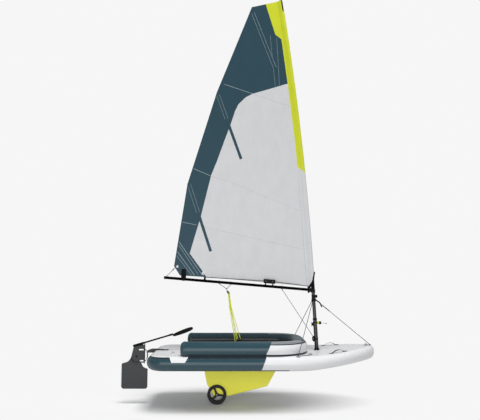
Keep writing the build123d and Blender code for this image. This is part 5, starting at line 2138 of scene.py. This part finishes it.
@dataclass
class BoomGear(Gear):
    """Boom fittings: end cap, jaws, outhaul housing and line, sheet bridle, clew strap and vang."""

    sail: Sail
    fore: Pair = (0.764, 1.129)
    aft: Pair = (-1.603, 1.327)
    radius: float = 0.0225
    outhaul_x: float = 0.104
    block_x: float = -0.956
    bridle_x: Pair = (-0.718, -0.523)
    bridle_low: Pair = (-0.592, 1.142)
    clew_x: float = -1.3025
    vang_x: float = 0.317
    vang_low: Pair = (0.818, 0.374)
    body = Body.RIG

    def __post_init__(self) -> None:
        """Works out the boom's directions."""
        self.ahead = central(self.fore[0] - self.aft[0], self.fore[1] - self.aft[1]).normalized()
        self.over = central(-self.ahead.z, self.ahead.x)

    def at(self, x: float, up: float = 0.0) -> Vector:
        """Point above the boom's line, by the place along the boat of the point under it on that line."""
        return central(*self.aft) + self.ahead * ((x - self.aft[0]) / self.ahead.x) + self.over * up

    def onto(self, x: float) -> Placer:
        """Turns distances forward, up and to port of a point on the boom into a point."""
        return placer(self.at(x), self.ahead, self.over)

    def build(self) -> None:
        """Builds everything on the boom."""
        self.cap()
        self.gooseneck()
        self.outhaul()
        self.clew()
        self.bridle()
        self.vang()

    def band(self, name: str, x: float, width: float) -> None:
        """Webbing band round the boom."""
        profile = both_ends([(self.radius + 0.0002, -width / 2), (self.radius + 0.0028, -width / 2)])
        self.turn(name, self.at(x), self.ahead, profile, BLACK_WEB, closed=True)

    def cap(self) -> None:
        """Rounded cap on the boom's aft end with its line eye."""
        profile = [
            (0.0238, -0.012), (0.0240, -0.010), (0.0240, 0.012), (0.0225, 0.018), (0.016, 0.022),
            (0.003, 0.0225),
        ]
        self.turn("boom_end_cap", self.at(self.aft[0]), -self.ahead, profile, BLACK_PLASTIC, 32, "boom_cap")
        eye = stadium(
            self.at(self.aft[0] + 0.028, self.radius + 0.006), self.ahead, self.over, 0.024, 0.018
        )
        self.loop("boom_end_eye", eye, SIDEWAYS, circle(0.003, 8), STEEL_FINISH)

    def gooseneck(self) -> None:
        """Jaws, pin and a hanging block where the boom meets the mast."""
        jaw = [
            (-0.022, 0.024), (0.006, 0.034), (0.046, 0.026), (0.070, 0.010), (0.072, -0.026),
            (0.044, -0.034), (0.002, -0.034), (-0.022, -0.024),
        ]
        onto = self.onto(self.fore[0])
        self.plates("jaw", jaw, 0.0125, 0.0205, BLACK_PLASTIC, 0.002, onto)
        pin = [(0.008, 0), (0.008, 0.004), (0.005, 0.005), (0.005, 0.078)]
        self.turn("gooseneck_pin", onto(0.030, -0.040, 0), self.over, pin, STEEL_FINISH, 16)
        wheel = [(0.004, 0), (0.017, 0.001), (0.018, 0.009), (0.017, 0.017), (0.004, 0.018)]
        self.turn("tack_block", onto(-0.008, -0.036, -0.009), SIDEWAYS, wheel, BLACK_PLASTIC, 24)
        hem = ((0.748, 0.010, 1.156), (0.781, 0.026, 1.206), (0.8255, 0.0355, 1.276), (0.842, 0.0285, 1.365),
               (0.854, 0.008, 1.420))
        for name, side in SIDES:
            self.web("tack_hem_" + name, [(x, side * y, z) for x, y, z in hem], 0.004, 0.020, BLACK_WEB)

    def outhaul(self) -> None:
        """Housing with two rollers and a cam cleat on top of the boom, and the line through it."""
        onto = self.onto(self.outhaul_x)
        floor = [(-0.092, 0.046), (0.092, 0.046), (0.092, 0.060), (-0.092, 0.060)]
        cheek = [
            (-0.094, 0.050), (0.094, 0.050), (0.096, 0.066), (0.094, 0.112), (-0.090, 0.114),
            (-0.096, 0.104),
        ]
        leg = [(-0.012, 0.016), (0.012, 0.016), (0.009, 0.050), (-0.009, 0.050)]
        self.plate("outhaul_floor", floor, -0.017, 0.017, BLACK_PLASTIC, 0.002, onto, "outhaul_box")
        self.plates("outhaul", cheek, 0.010, 0.017, BLACK_PLASTIC, 0.003, onto)
        for name, sign in (("aft", -1), ("fore", 1)):
            foot = [(x + sign * 0.060, up) for x, up in leg]
            self.plate("outhaul_leg_" + name, foot, -0.007, 0.007, BLACK_PLASTIC, 0.001, onto)
            roller = "outhaul_roller_" + name
            a = sign * 0.055
            self.turn(roller, onto(a, 0.080, 0), SIDEWAYS, sheave(0.019, 0.018), GREY_BALL, 20, closed=True)
            self.turn(
                roller + "_pin", onto(a, 0.080, -0.019), SIDEWAYS, rod(0.004, 0.038), STEEL_FINISH, 12
            )
        aft = [self.at(self.block_x + 0.016, 0.060), self.at(-0.45, 0.071), onto(-0.055, 0.080, 0)]
        fore = [onto(0.055, 0.080, 0), self.at(0.45, 0.070), self.at(0.742, 0.055)]
        self.line("outhaul_line_aft", aft, 0.0058, DARK_ROPE, 8)
        self.line("outhaul_line_fore", fore, 0.0058, DARK_ROPE, 8)
        base = [(0.020, 0.014), (0.020, 0.026), (0.014, 0.034), (0.014, 0.040)]
        self.turn("foot_block", self.at(self.block_x), self.over, base, BLACK_PLASTIC, 24)
        self.turn("foot_ball", self.at(self.block_x, 0.046), self.over, ball(0.019), BLACK_PLASTIC, 24)

    def clew(self) -> None:
        """Strap round the boom and through the clew, and the line to the boom's end."""
        x = self.clew_x
        z = self.at(x).z
        belly = self.sail.belly(x, 1.42)
        port = [
            (0.004, -0.026), (0.0265, -0.004), (0.021, 0.030), (belly + 0.009, 0.085),
            (belly + 0.006, 0.150),
        ]
        starboard = [
            (belly - 0.006, 0.150), (belly - 0.009, 0.085), (-0.021, 0.030), (-0.0265, -0.004),
            (-0.004, -0.026),
        ]
        path = smooth_path([(x, y, z + up) for y, up in (*port, (belly, 0.164), *starboard)])

        def bulge(share: float) -> list[Pair]:
            """Section of the strap, wider at the clew."""
            return strap_section(0.046 + 0.034 * math.sin(math.tau * min(share, 1 - share)) ** 0.7, 0.004)

        loop = swept("clew_loop", path, bulge, self.shop.made(BLACK_WEB))
        self.mount(loop, BLACK_WEB, "clew_strap")
        corner = Vector((-1.447, self.sail.belly(-1.447, 1.50), 1.488))
        end = self.at(self.aft[0] + 0.028, self.radius + 0.012)
        self.line("clew_line", [corner, end], 0.004, DARK_ROPE, 8)
        knot = [(0.003, 0.020), (0.008, 0.024), (0.0085, 0.040), (0.006, 0.058), (0.003, 0.060)]
        self.turn("clew_knot", corner, end - corner, knot, BLACK_WEB, 14)

    def bridle(self) -> None:
        """V-shaped strop under the boom that carries the mainsheet's upper block."""
        low = central(*self.bridle_low)
        for name, x in zip(("bridle_aft", "bridle_fore"), self.bridle_x):
            self.band(name + "_band", x, 0.024)
            self.line(name, [self.at(x, -self.radius), low], 0.0045, DARK_ROPE, 8)
        ring = stadium(
            low - UPWARD * 0.012, central(0.25, -1).normalized(), central(1, 0.25).normalized(), 0.044,
            0.016,
        )
        self.loop("bridle_shackle", ring, SIDEWAYS, circle(0.0032, 8), STEEL_FINISH)

    def vang(self) -> None:
        """Thin line from the boom's underside to the block low on the mast."""
        self.band("vang_band", self.vang_x, 0.030)
        low = central(*self.vang_low)
        top = self.at(self.vang_x, -self.radius - 0.004)
        self.line("vang_line", [top, low], 0.0042, LINE_ROPE, 8)
        eye = [(0.0035, -0.006), (0.0062, 0.0), (0.0062, 0.024), (0.0035, 0.030)]
        self.turn("vang_eye", top, low - top, eye, BLACK_PLASTIC, 14)


def dense(points: Sequence[Point], spacing: float = 0.03) -> list[Vector]:
    """Points close together along straight runs.

    Args:
        points: Corners of the runs.
        spacing: Largest distance between points.

    Returns:
        The finer path.
    """
    found = []
    knots = [Vector(p) for p in points]
    for a, b in zip(knots, knots[1:]):
        count = max(1, round((b - a).length / spacing))
        found += [a.lerp(b, i / count) for i in range(count)]
    return found + [knots[-1]]


@dataclass
class Mainsheet(Gear):
    """Tackle from the bridle to the block on the cockpit floor."""

    top: Pair = (-0.582, 1.108)
    low: Pair = (-0.550, 1.059)
    base_x: float = -0.392
    floor_z: float = 0.166
    wheel_z: float = 0.323
    rope_radius: float = 0.0056

    def build(self) -> None:
        """Builds the blocks and the falls."""
        self.upper()
        self.lower()
        falls = (
            ("fall_aft", (
                (-0.566, -0.010, 1.074), (-0.545, -0.006, 0.849), (-0.451, -0.004, 0.299),
                (-0.462, 0.0, 0.196),
            )),
            ("fall_low", ((-0.560, 0.012, 1.066), (-0.535, 0.008, 0.849), (-0.428, 0.010, 0.318))),
            ("fall_middle", ((-0.553, 0.004, 1.062), (-0.525, 0.004, 0.849), (-0.410, 0.002, 0.332))),
            ("fall_fore", ((-0.545, -0.006, 1.064), (-0.516, -0.004, 0.849), (-0.366, 0.004, 0.333))),
        )
        section = circle(self.rope_radius, 10)
        for name, points in falls:
            fall = swept(name, dense(points), lambda share: section, self.shop.made(SHEET_ROPE))
            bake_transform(fall)
            log.info("%s from %s to %s", name, Body.HULL.value, Body.RIG.value)

    def upper(self) -> None:
        """Block under the bridle, in line with the falls."""
        top = central(*self.top)
        down = (central(*self.low) - top).normalized()
        onto = placer(top, central(-down.z, down.x), down)
        half = [(0.010, 0.000), (0.019, 0.020), (0.018, 0.044), (0.006, 0.060)]
        cheek = [(-0.010, 0.000), *half, *((-a, b) for a, b in reversed(half[1:]))]
        for name, middle in (("port", 0.012), ("middle", 0.0), ("starboard", -0.012)):
            block = "sheet_block_" + name
            self.plate(
                block, cheek, middle - 0.002, middle + 0.002, BLOCK_OLIVE, 0.0012, onto, body=Body.RIG
            )
        rig = {"body": Body.RIG}
        for name, side in SIDES:
            place = onto(0, 0.034, side * 0.006)
            self.turn(
                "sheet_wheel_" + name, place, SIDEWAYS, sheave(0.017, 0.007), GREY_BALL, 24, closed=True,
                **rig,
            )
        self.turn(
            "sheet_block_pin", onto(0, 0.034, -0.0155), SIDEWAYS, rod(0.004, 0.031), STEEL_FINISH, 12, **rig
        )

    def lower(self) -> None:
        """Foot on the mat, a ribbed spring post and the block on it, with a floor eye beside it."""
        foot = central(self.base_x, self.floor_z)
        plate = [(0.045, 0.0), (0.045, 0.006), (0.042, 0.010), (0.024, 0.013), (0.018, 0.016)]
        self.turn("sheet_foot", foot, UPWARD, plate, BLACK_PLASTIC, 36, "sheet_base")
        ribs = []
        for step in range(9):
            up = 0.014 + step * 0.0125
            radius = 0.0155 - step * 0.0006
            ribs += [
                (radius, up), (radius, up + 0.007), (radius - 0.003, up + 0.008),
                (radius - 0.003, up + 0.0115),
            ]
        self.turn("sheet_spring", foot, UPWARD, ribs, STEEL_FINISH, 24)
        wheel = central(self.base_x, self.wheel_z)
        cheek = [
            (-0.012, -0.032), (0.012, -0.032), (0.026, -0.010), (0.026, 0.010), (0.012, 0.027),
            (-0.012, 0.027), (-0.026, 0.010), (-0.026, -0.010),
        ]
        onto = placer(wheel, Vector((1, 0, 0)), UPWARD)
        self.plates("floor_block", cheek, 0.007, 0.011, BLACK_PLASTIC, 0.0015, onto)
        self.turn("floor_block_wheel", wheel, SIDEWAYS, sheave(0.023, 0.011), GREY_BALL, 28, closed=True)
        for name, side in SIDES:
            place = wheel + SIDEWAYS * (side * 0.011)
            self.turn(
                "floor_block_nut_" + name, place, SIDEWAYS * side, dome(0.006, 0.003), STEEL_FINISH, 14
            )
        eye = [(0.022, 0.0), (0.022, 0.005), (0.010, 0.010), (0.008, 0.034), (0.003, 0.036)]
        self.turn("floor_eye", central(-0.462, self.floor_z), UPWARD, eye, BLACK_PLASTIC, 24)


@dataclass
class RudderGear(Gear):
    """Bevelled blade, bolt, tiller grip and the bracket's bolts."""

    pintle_x: float = -1.925
    deck: float = 0.16
    pivot: Pair = (-2.05, 0.06)
    cheek_out: float = 0.0175
    head: float = 0.08
    grip_aft: Pair = (-1.468, 0.390)
    grip_fore: Pair = (-1.141, 0.512)
    grip_depth: float = 0.057
    limb: float = 0.021
    tiller_end: Pair = (-1.468, 0.411)
    tiller_aft: Pair = (-2.098, 0.226)
    body = Body.RUDDER

    def build(self) -> None:
        """Builds the rudder's pieces."""
        self.blade()
        self.bolt()
        self.grip()
        self.bracket()

    def blade(self) -> None:
        """Blade with eased edges and a round head between the cheeks."""
        front = smooth_path([(0.040, 0, -0.220), (0.022, 0, -0.262), (-0.020, 0, -0.288)], 4)
        back = smooth_path([(0.340, 0, -0.208), (0.265, 0, -0.182), (0.205, 0, -0.110)], 4)
        places = [(p.x, p.z) for p in front]
        places += [
            (-0.056, -0.298), (-0.056, -0.588), (-0.031, -0.613), (0.337, -0.613), (0.365, -0.585),
            (0.365, -0.226), (0.357, -0.213),
        ]
        places += [(p.x, p.z) for p in back]
        for step in range(1, 13):
            turn = math.radians(step * 20)
            places.append((0.125 + self.head * math.cos(turn), -0.100 + self.head * math.sin(turn)))
        outline = [(self.pintle_x - aft, self.deck + up) for aft, up in places]
        self.plate(
            "rudder_foil", outline, -0.011, 0.011, GREY_PLASTIC, 0.004, upright, "rudder_blade",
            body=Body.BLADE,
        )

    def bolt(self) -> None:
        """Blade bolt with its nuts, a black line on each cheek that is painted shadow along the stock's
        lower edge, and the pintle's heads.
        """
        x, z = self.pivot
        self.turn("blade_pin", (x, -0.0195, z), SIDEWAYS, rod(0.006, 0.039), STEEL_FINISH, 20, "blade_bolt")
        nut = [
            (0.015, -0.0005), (0.015, 0.0015), (0.0095, 0.002), (0.0095, 0.0055), (0.006, 0.007),
            (0.002, 0.0073),
        ]
        turns = [math.radians(184 + 10 * step) for step in range(14)]
        for name, side in SIDES:
            y = side * self.cheek_out
            self.turn(
                "blade_nut_" + name, (x, y, z), SIDEWAYS * side, nut, BLACK_PLASTIC, 24,
                slot="fitting_steel",
            )
            # Black line round each cheek below the bolt: painted shadow along the stock's lower edge.
            points = [(x + 0.088 * math.cos(t), y, z + 0.088 * math.sin(t)) for t in turns]
            self.line("cheek_edge_painted_shadow_" + name, points, 0.0036, BLACK_PLASTIC, 8)
        head = [(0.009, -0.004), (0.009, 0.003), (0.005, 0.006)]
        for name, up, side in (("pintle_top", 0.098, 1), ("pintle_low", -0.212, -1)):
            self.turn(name, central(self.pintle_x, self.deck + up), UPWARD * side, head, STEEL_FINISH, 20)

    def grip(self) -> None:
        """Long loop grip on the tiller's front end, with its socket."""
        aft = central(*self.grip_aft)
        fore = central(*self.grip_fore)
        along = (fore - aft).normalized()
        path = self.leaf(
            (aft + fore) / 2, along, central(-along.z, along.x), (fore - aft).length - self.limb
        )
        section = [(a * 1.2, b * 1.1) for a, b in circle(self.limb / 2, 14)]
        self.loop("tiller_grip", path, SIDEWAYS, section, BLACK_PLASTIC, "tiller_handle")
        self.plate("grip_web", [(p.x, p.z) for p in path], -0.003, 0.003, BLACK_PLASTIC, 0.001)
        end = central(*self.tiller_end)
        base = central(*self.tiller_aft)
        socket = [
            (0.0135, -0.060), (0.0165, -0.056), (0.0165, -0.004), (0.015, 0.004), (0.008, 0.008),
            (0.002, 0.009),
        ]
        self.turn("tiller_socket", end, end - base, socket, BLACK_PLASTIC, 24)
        sleeve = [(0.0135, -0.012), (0.0185, -0.010), (0.0185, 0.150), (0.0165, 0.176), (0.0132, 0.180)]
        self.turn("tiller_sleeve", base, end - base, sleeve, BLACK_PLASTIC, 24, closed=True)

    def leaf(
        self, middle: Vector, along: Vector, across: Vector, length: float, steps: int = 36
    ) -> list[Vector]:
        """Centre line of the grip's bar, fuller towards its front end.

        Args:
            middle: Middle of the grip.
            along: Direction of its length.
            across: Direction of its depth.
            length: Length of the line.
            steps: Points round it.

        Returns:
            The points in order.
        """
        found = []
        for a, b in circle(1.0, steps):
            depth = (self.grip_depth - self.limb) * (0.56 + 0.10 * a)
            share = math.copysign(abs(b) ** 0.75, b)
            found.append(middle + along * (length / 2 * a) + across * (depth * share))
        return found

    def bracket(self) -> None:
        """Bolt heads on the stern bracket's deck plate."""
        for index, (x, y) in enumerate(
            ((-1.652, 0.034), (-1.652, -0.034), (-1.556, 0.034), (-1.556, -0.034))
        ):
            place = (x, y, self.deck + 0.010)
            self.turn(
                f"bracket_bolt_{index}", place, UPWARD, dome(0.008, 0.005), STEEL_FINISH, 18, body=Body.HULL
            )


@dataclass
class FinWheels(Gear):
    """Wheel pair on the fin's axle, and the fin's box under the hull."""

    centre: Pair = (-0.745, -0.536)
    middle_y: float = 0.0495
    half: float = 0.019
    spoke_turn: float = 111.0
    rim: float = 0.117
    keel: float = -0.06
    fin_top: Pair = (-0.972, 0.267)
    body = Body.WHEELS

    def build(self) -> None:
        """Builds the wheels and the fin's box."""
        for name, side in SIDES:
            self.wheel(name, side)
        aft, fore = self.fin_top
        low = self.keel - 0.012
        high = self.keel + 0.001
        box = [(aft - 0.012, low), (fore + 0.012, low), (fore + 0.018, high), (aft - 0.018, high)]
        self.plate("fin_box", box, -0.045, 0.045, PVC_DARK, 0.003, body=Body.HULL)

    def wheel(self, name: str, side: int) -> None:
        """Tyre, rim, spokes and hub of one wheel.

        Args:
            name: The wheel's name.
            side: 1 for port, -1 for starboard.
        """
        middle = Vector((self.centre[0], side * self.middle_y, self.centre[1]))
        half = self.half
        tread = both_ends([
            (0.116, -half * 0.9), (0.120, -half), (0.139, -half), (0.149, -half * 0.82),
            (0.1535, -half * 0.45),
        ])
        self.turn(
            "wheel_tyre_" + name, middle, SIDEWAYS, tread, TyreRubber(), 72, "tyre_" + name, closed=True
        )
        rim = both_ends([(self.rim - 0.009, -0.010), (self.rim - 0.006, -0.014), (self.rim, -0.015)])
        self.turn(
            "wheel_rim_" + name, middle, SIDEWAYS, rim, HUB_PLASTIC, 72, "wheel_hub_" + name, closed=True
        )
        boss = both_ends([(0.002, -half), (0.013, -half), (0.023, -0.0165), (0.027, -0.013)])
        self.turn("wheel_boss_" + name, middle, SIDEWAYS, boss, HUB_PLASTIC, 40)
        arm = both_ends([(0.022, -0.019), (0.060, -0.0155), (0.100, -0.016), (0.113, -0.022)])
        for index in range(3):
            turn = math.radians(self.spoke_turn + index * 120)
            out = central(math.cos(turn), math.sin(turn))
            place = placer(middle, out, central(-out.z, out.x))
            self.plate(f"wheel_spoke_{name}_{index}", arm, -0.008, 0.008, HUB_PLASTIC, 0.003, place)
        outer = middle + SIDEWAYS * (side * half)
        self.turn("axle_cap_" + name, outer, SIDEWAYS * side, dome(0.012, 0.005), STEEL_FINISH, 24)


@dataclass
class DeckGear(Gear):
    """Webbing handles, valves, tube end caps and bolts on the hull."""

    lines: HullLines
    ring: CockpitRing
    handle_x: float = 1.15
    handle_inset: float = 0.179
    handle_toe: float = 18.6
    handle_half: float = 0.144

    def build(self) -> None:
        """Builds the deck gear."""
        for name, side in SIDES:
            self.handle(name, side)
            self.tube_end(name, side)
        self.valve("deck_valve_aft", -1.42, -0.36, 0.026)
        self.valve("deck_valve_fore", 0.707, -0.50, 0.036)
        up = self.lines.deck + 0.0035
        for name, side in SIDES:
            points = [
                (x, side * y, up)
                for x, y in ((0.545, 0.655), (0.585, 0.640), (0.660, 0.590), (0.735, 0.520))
            ]
            self.web("foredeck_strap_" + name, points, 0.022, 0.003, BLACK_WEB)
        for index, (x, y) in enumerate(((1.658, 0.014), (1.658, -0.014), (1.742, 0.014), (1.742, -0.014))):
            place = (x, y, self.lines.deck_z(x) + 0.0055)
            self.turn(f"bow_bolt_{index}", place, (-0.1, 0, 1), dome(0.005, 0.003), STEEL_FINISH, 14)

    def handle(self, name: str, side: int) -> None:
        """Arched webbing handle on two glued patches.

        Args:
            name: Port or starboard.
            side: 1 for port, -1 for starboard.
        """
        lines = self.lines
        x = self.handle_x
        half_deck = lines.flat_half(x) + (lines.deck_z(x) - lines.keel_z(x)) / 2
        rise = (
            lines.deck_z(x + self.handle_half) - lines.deck_z(x - self.handle_half)
        ) / (2 * self.handle_half)
        toe = math.radians(self.handle_toe)
        ahead = Vector((math.cos(toe), -side * math.sin(toe), rise)).normalized()
        middle = Vector((x, side * (half_deck - self.handle_inset), lines.deck_z(x)))
        arch = [
            (-0.142, 0.004), (-0.122, 0.004), (-0.100, 0.006), (-0.078, 0.018), (-0.042, 0.034),
            (0.0, 0.040),
        ]
        places = arch + [(-far, up) for far, up in reversed(arch[:-1])]
        points = [middle + ahead * far + UPWARD * up for far, up in places]
        self.web("handle_web_" + name, points, 0.036, 0.0036, GREY_WEB, "deck_handle_" + name)
        across = UPWARD.cross(ahead).normalized()
        corners = [(-0.034, -0.030), (0.034, -0.030), (0.034, 0.030), (-0.034, 0.030)]
        for end, sign in (("aft", -1), ("fore", 1)):
            place = placer(middle + ahead * (sign * 0.122), ahead, across, UPWARD)
            patch = f"handle_patch_{name}_{end}"
            self.plate(patch, corners, -0.003, 0.0022, PVC_DARK, 0.0008, place, slot=PVC_GREY.slot)

    def tube_end(self, name: str, side: int) -> None:
        """Seam tape, end disc and valve on the cockpit tube's domed end.

        Args:
            name: Port or starboard.
            side: 1 for port, -1 for starboard.
        """
        ring = self.ring
        tape = ((-0.020, -0.001), (-0.018, 0.0012), (0.012, 0.0012), (0.014, -0.001))
        rows = [ring.end_hoop(side, far, ring.radius + proud) for far, proud in tape]
        self.skin("tube_tape_" + name, rows, PVC_PETROL)
        end = Vector((ring.aft - ring.dome, side * ring.spacing, ring.middle_z + 0.012))
        aft = Vector((-1, 0, 0))
        disc = [(0.044, -0.003), (0.044, 0.001), (0.041, 0.002), (0.003, 0.003)]
        self.turn("tube_disc_" + name, end, aft, disc, PVC_DARK, 36)
        cap = [(0.015, 0.0), (0.015, 0.006), (0.012, 0.009), (0.002, 0.0095)]
        self.turn("tube_valve_" + name, end, aft, cap, VALVE_WHITE, 24)

    def valve(self, name: str, x: float, y: float, radius: float) -> None:
        """Inflation valve with a flange and a domed cap.

        Args:
            name: The piece's name.
            x: Its place along the deck.
            y: Its place across the deck.
            radius: Its flange's radius.
        """
        shares = (
            (1, -0.004), (1, 0.003), (0.9, 0.006), (0.72, 0.007), (0.70, 0.018), (0.6, 0.024), (0.3, 0.027)
        )
        profile = [(radius * share, up) for share, up in (*shares, (0.05, 0.028))]
        self.turn(name, (x, y, self.lines.deck_z(x)), UPWARD, profile, GREY_BALL, 36)


def dress_solids(shop: Workshop) -> None:
    """Gives every carried-over solid its finish.

    Args:
        shop: The frame and materials.
    """
    shop.dress(PVC_WHITE, "hull_board", "ring_bow")
    shop.dress(PVC_PETROL, "ring_side_port", "ring_side_starboard")
    shop.dress(FinGloss(), "fin")
    shop.dress(BLACK_PLASTIC, "mast_step", "stay_collar", "sheet_base", "mast_ring", "mast_end", "boom_cap")
    shop.dress(
        BLACK_PLASTIC, "gooseneck", "outhaul_box", "mast_cleat", "mast_block", "front_fitting",
        "tiller_handle",
    )
    shop.dress(STAY_ROPE, "forestay", "shroud_port", "shroud_starboard")
    shop.dress(PVC_GREY, "chainplate_port", "chainplate_starboard")
    shop.dress(STEEL_FINISH, "bow_plate", "pintle", "blade_bolt", "axle")
    shop.dress(GroovedFoam(), "cockpit_mat")
    shop.dress(GREY_PLASTIC, "stern_bracket", "rudder_stock", "rudder_blade")
    shop.dress(GREY_WEB, "deck_handle_port", "deck_handle_starboard")
    shop.dress(MAST_TUBE, "mast_lower", "mast_upper")
    shop.dress(BOOM_TUBE, "boom", "tiller")
    shop.dress(CLOTH_WHITE, "luff_sleeve", "sail")
    shop.dress(BLACK_WEB, "clew_strap")
    shop.dress(VANE_GREEN, "wind_indicator")
    shop.dress(TyreRubber(), "tyre_port", "tyre_starboard")
    shop.dress(HUB_PLASTIC, "wheel_hub_port", "wheel_hub_starboard")


def main() -> None:
    """Builds the whole scene."""
    logging.basicConfig(level=logging.INFO, format="%(name)s: %(message)s")
    shop = Workshop(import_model())
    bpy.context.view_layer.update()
    bpy.context.scene.view_settings.view_transform = "Standard"
    Studio().build()
    dress_solids(shop)
    lines = HullLines()
    mast = MastLine(lines)
    ring = CockpitRing(shop)
    sail = Sail(shop, mast)
    HullBoard(shop, lines).build()
    ring.build()
    sail.build()
    MastGear(shop, mast).build()
    Stays(shop, mast).build()
    BoomGear(shop, sail).build()
    Mainsheet(shop).build()
    RudderGear(shop).build()
    FinWheels(shop).build()
    DeckGear(shop, lines, ring).build()


if __name__ == "__main__":
    main()
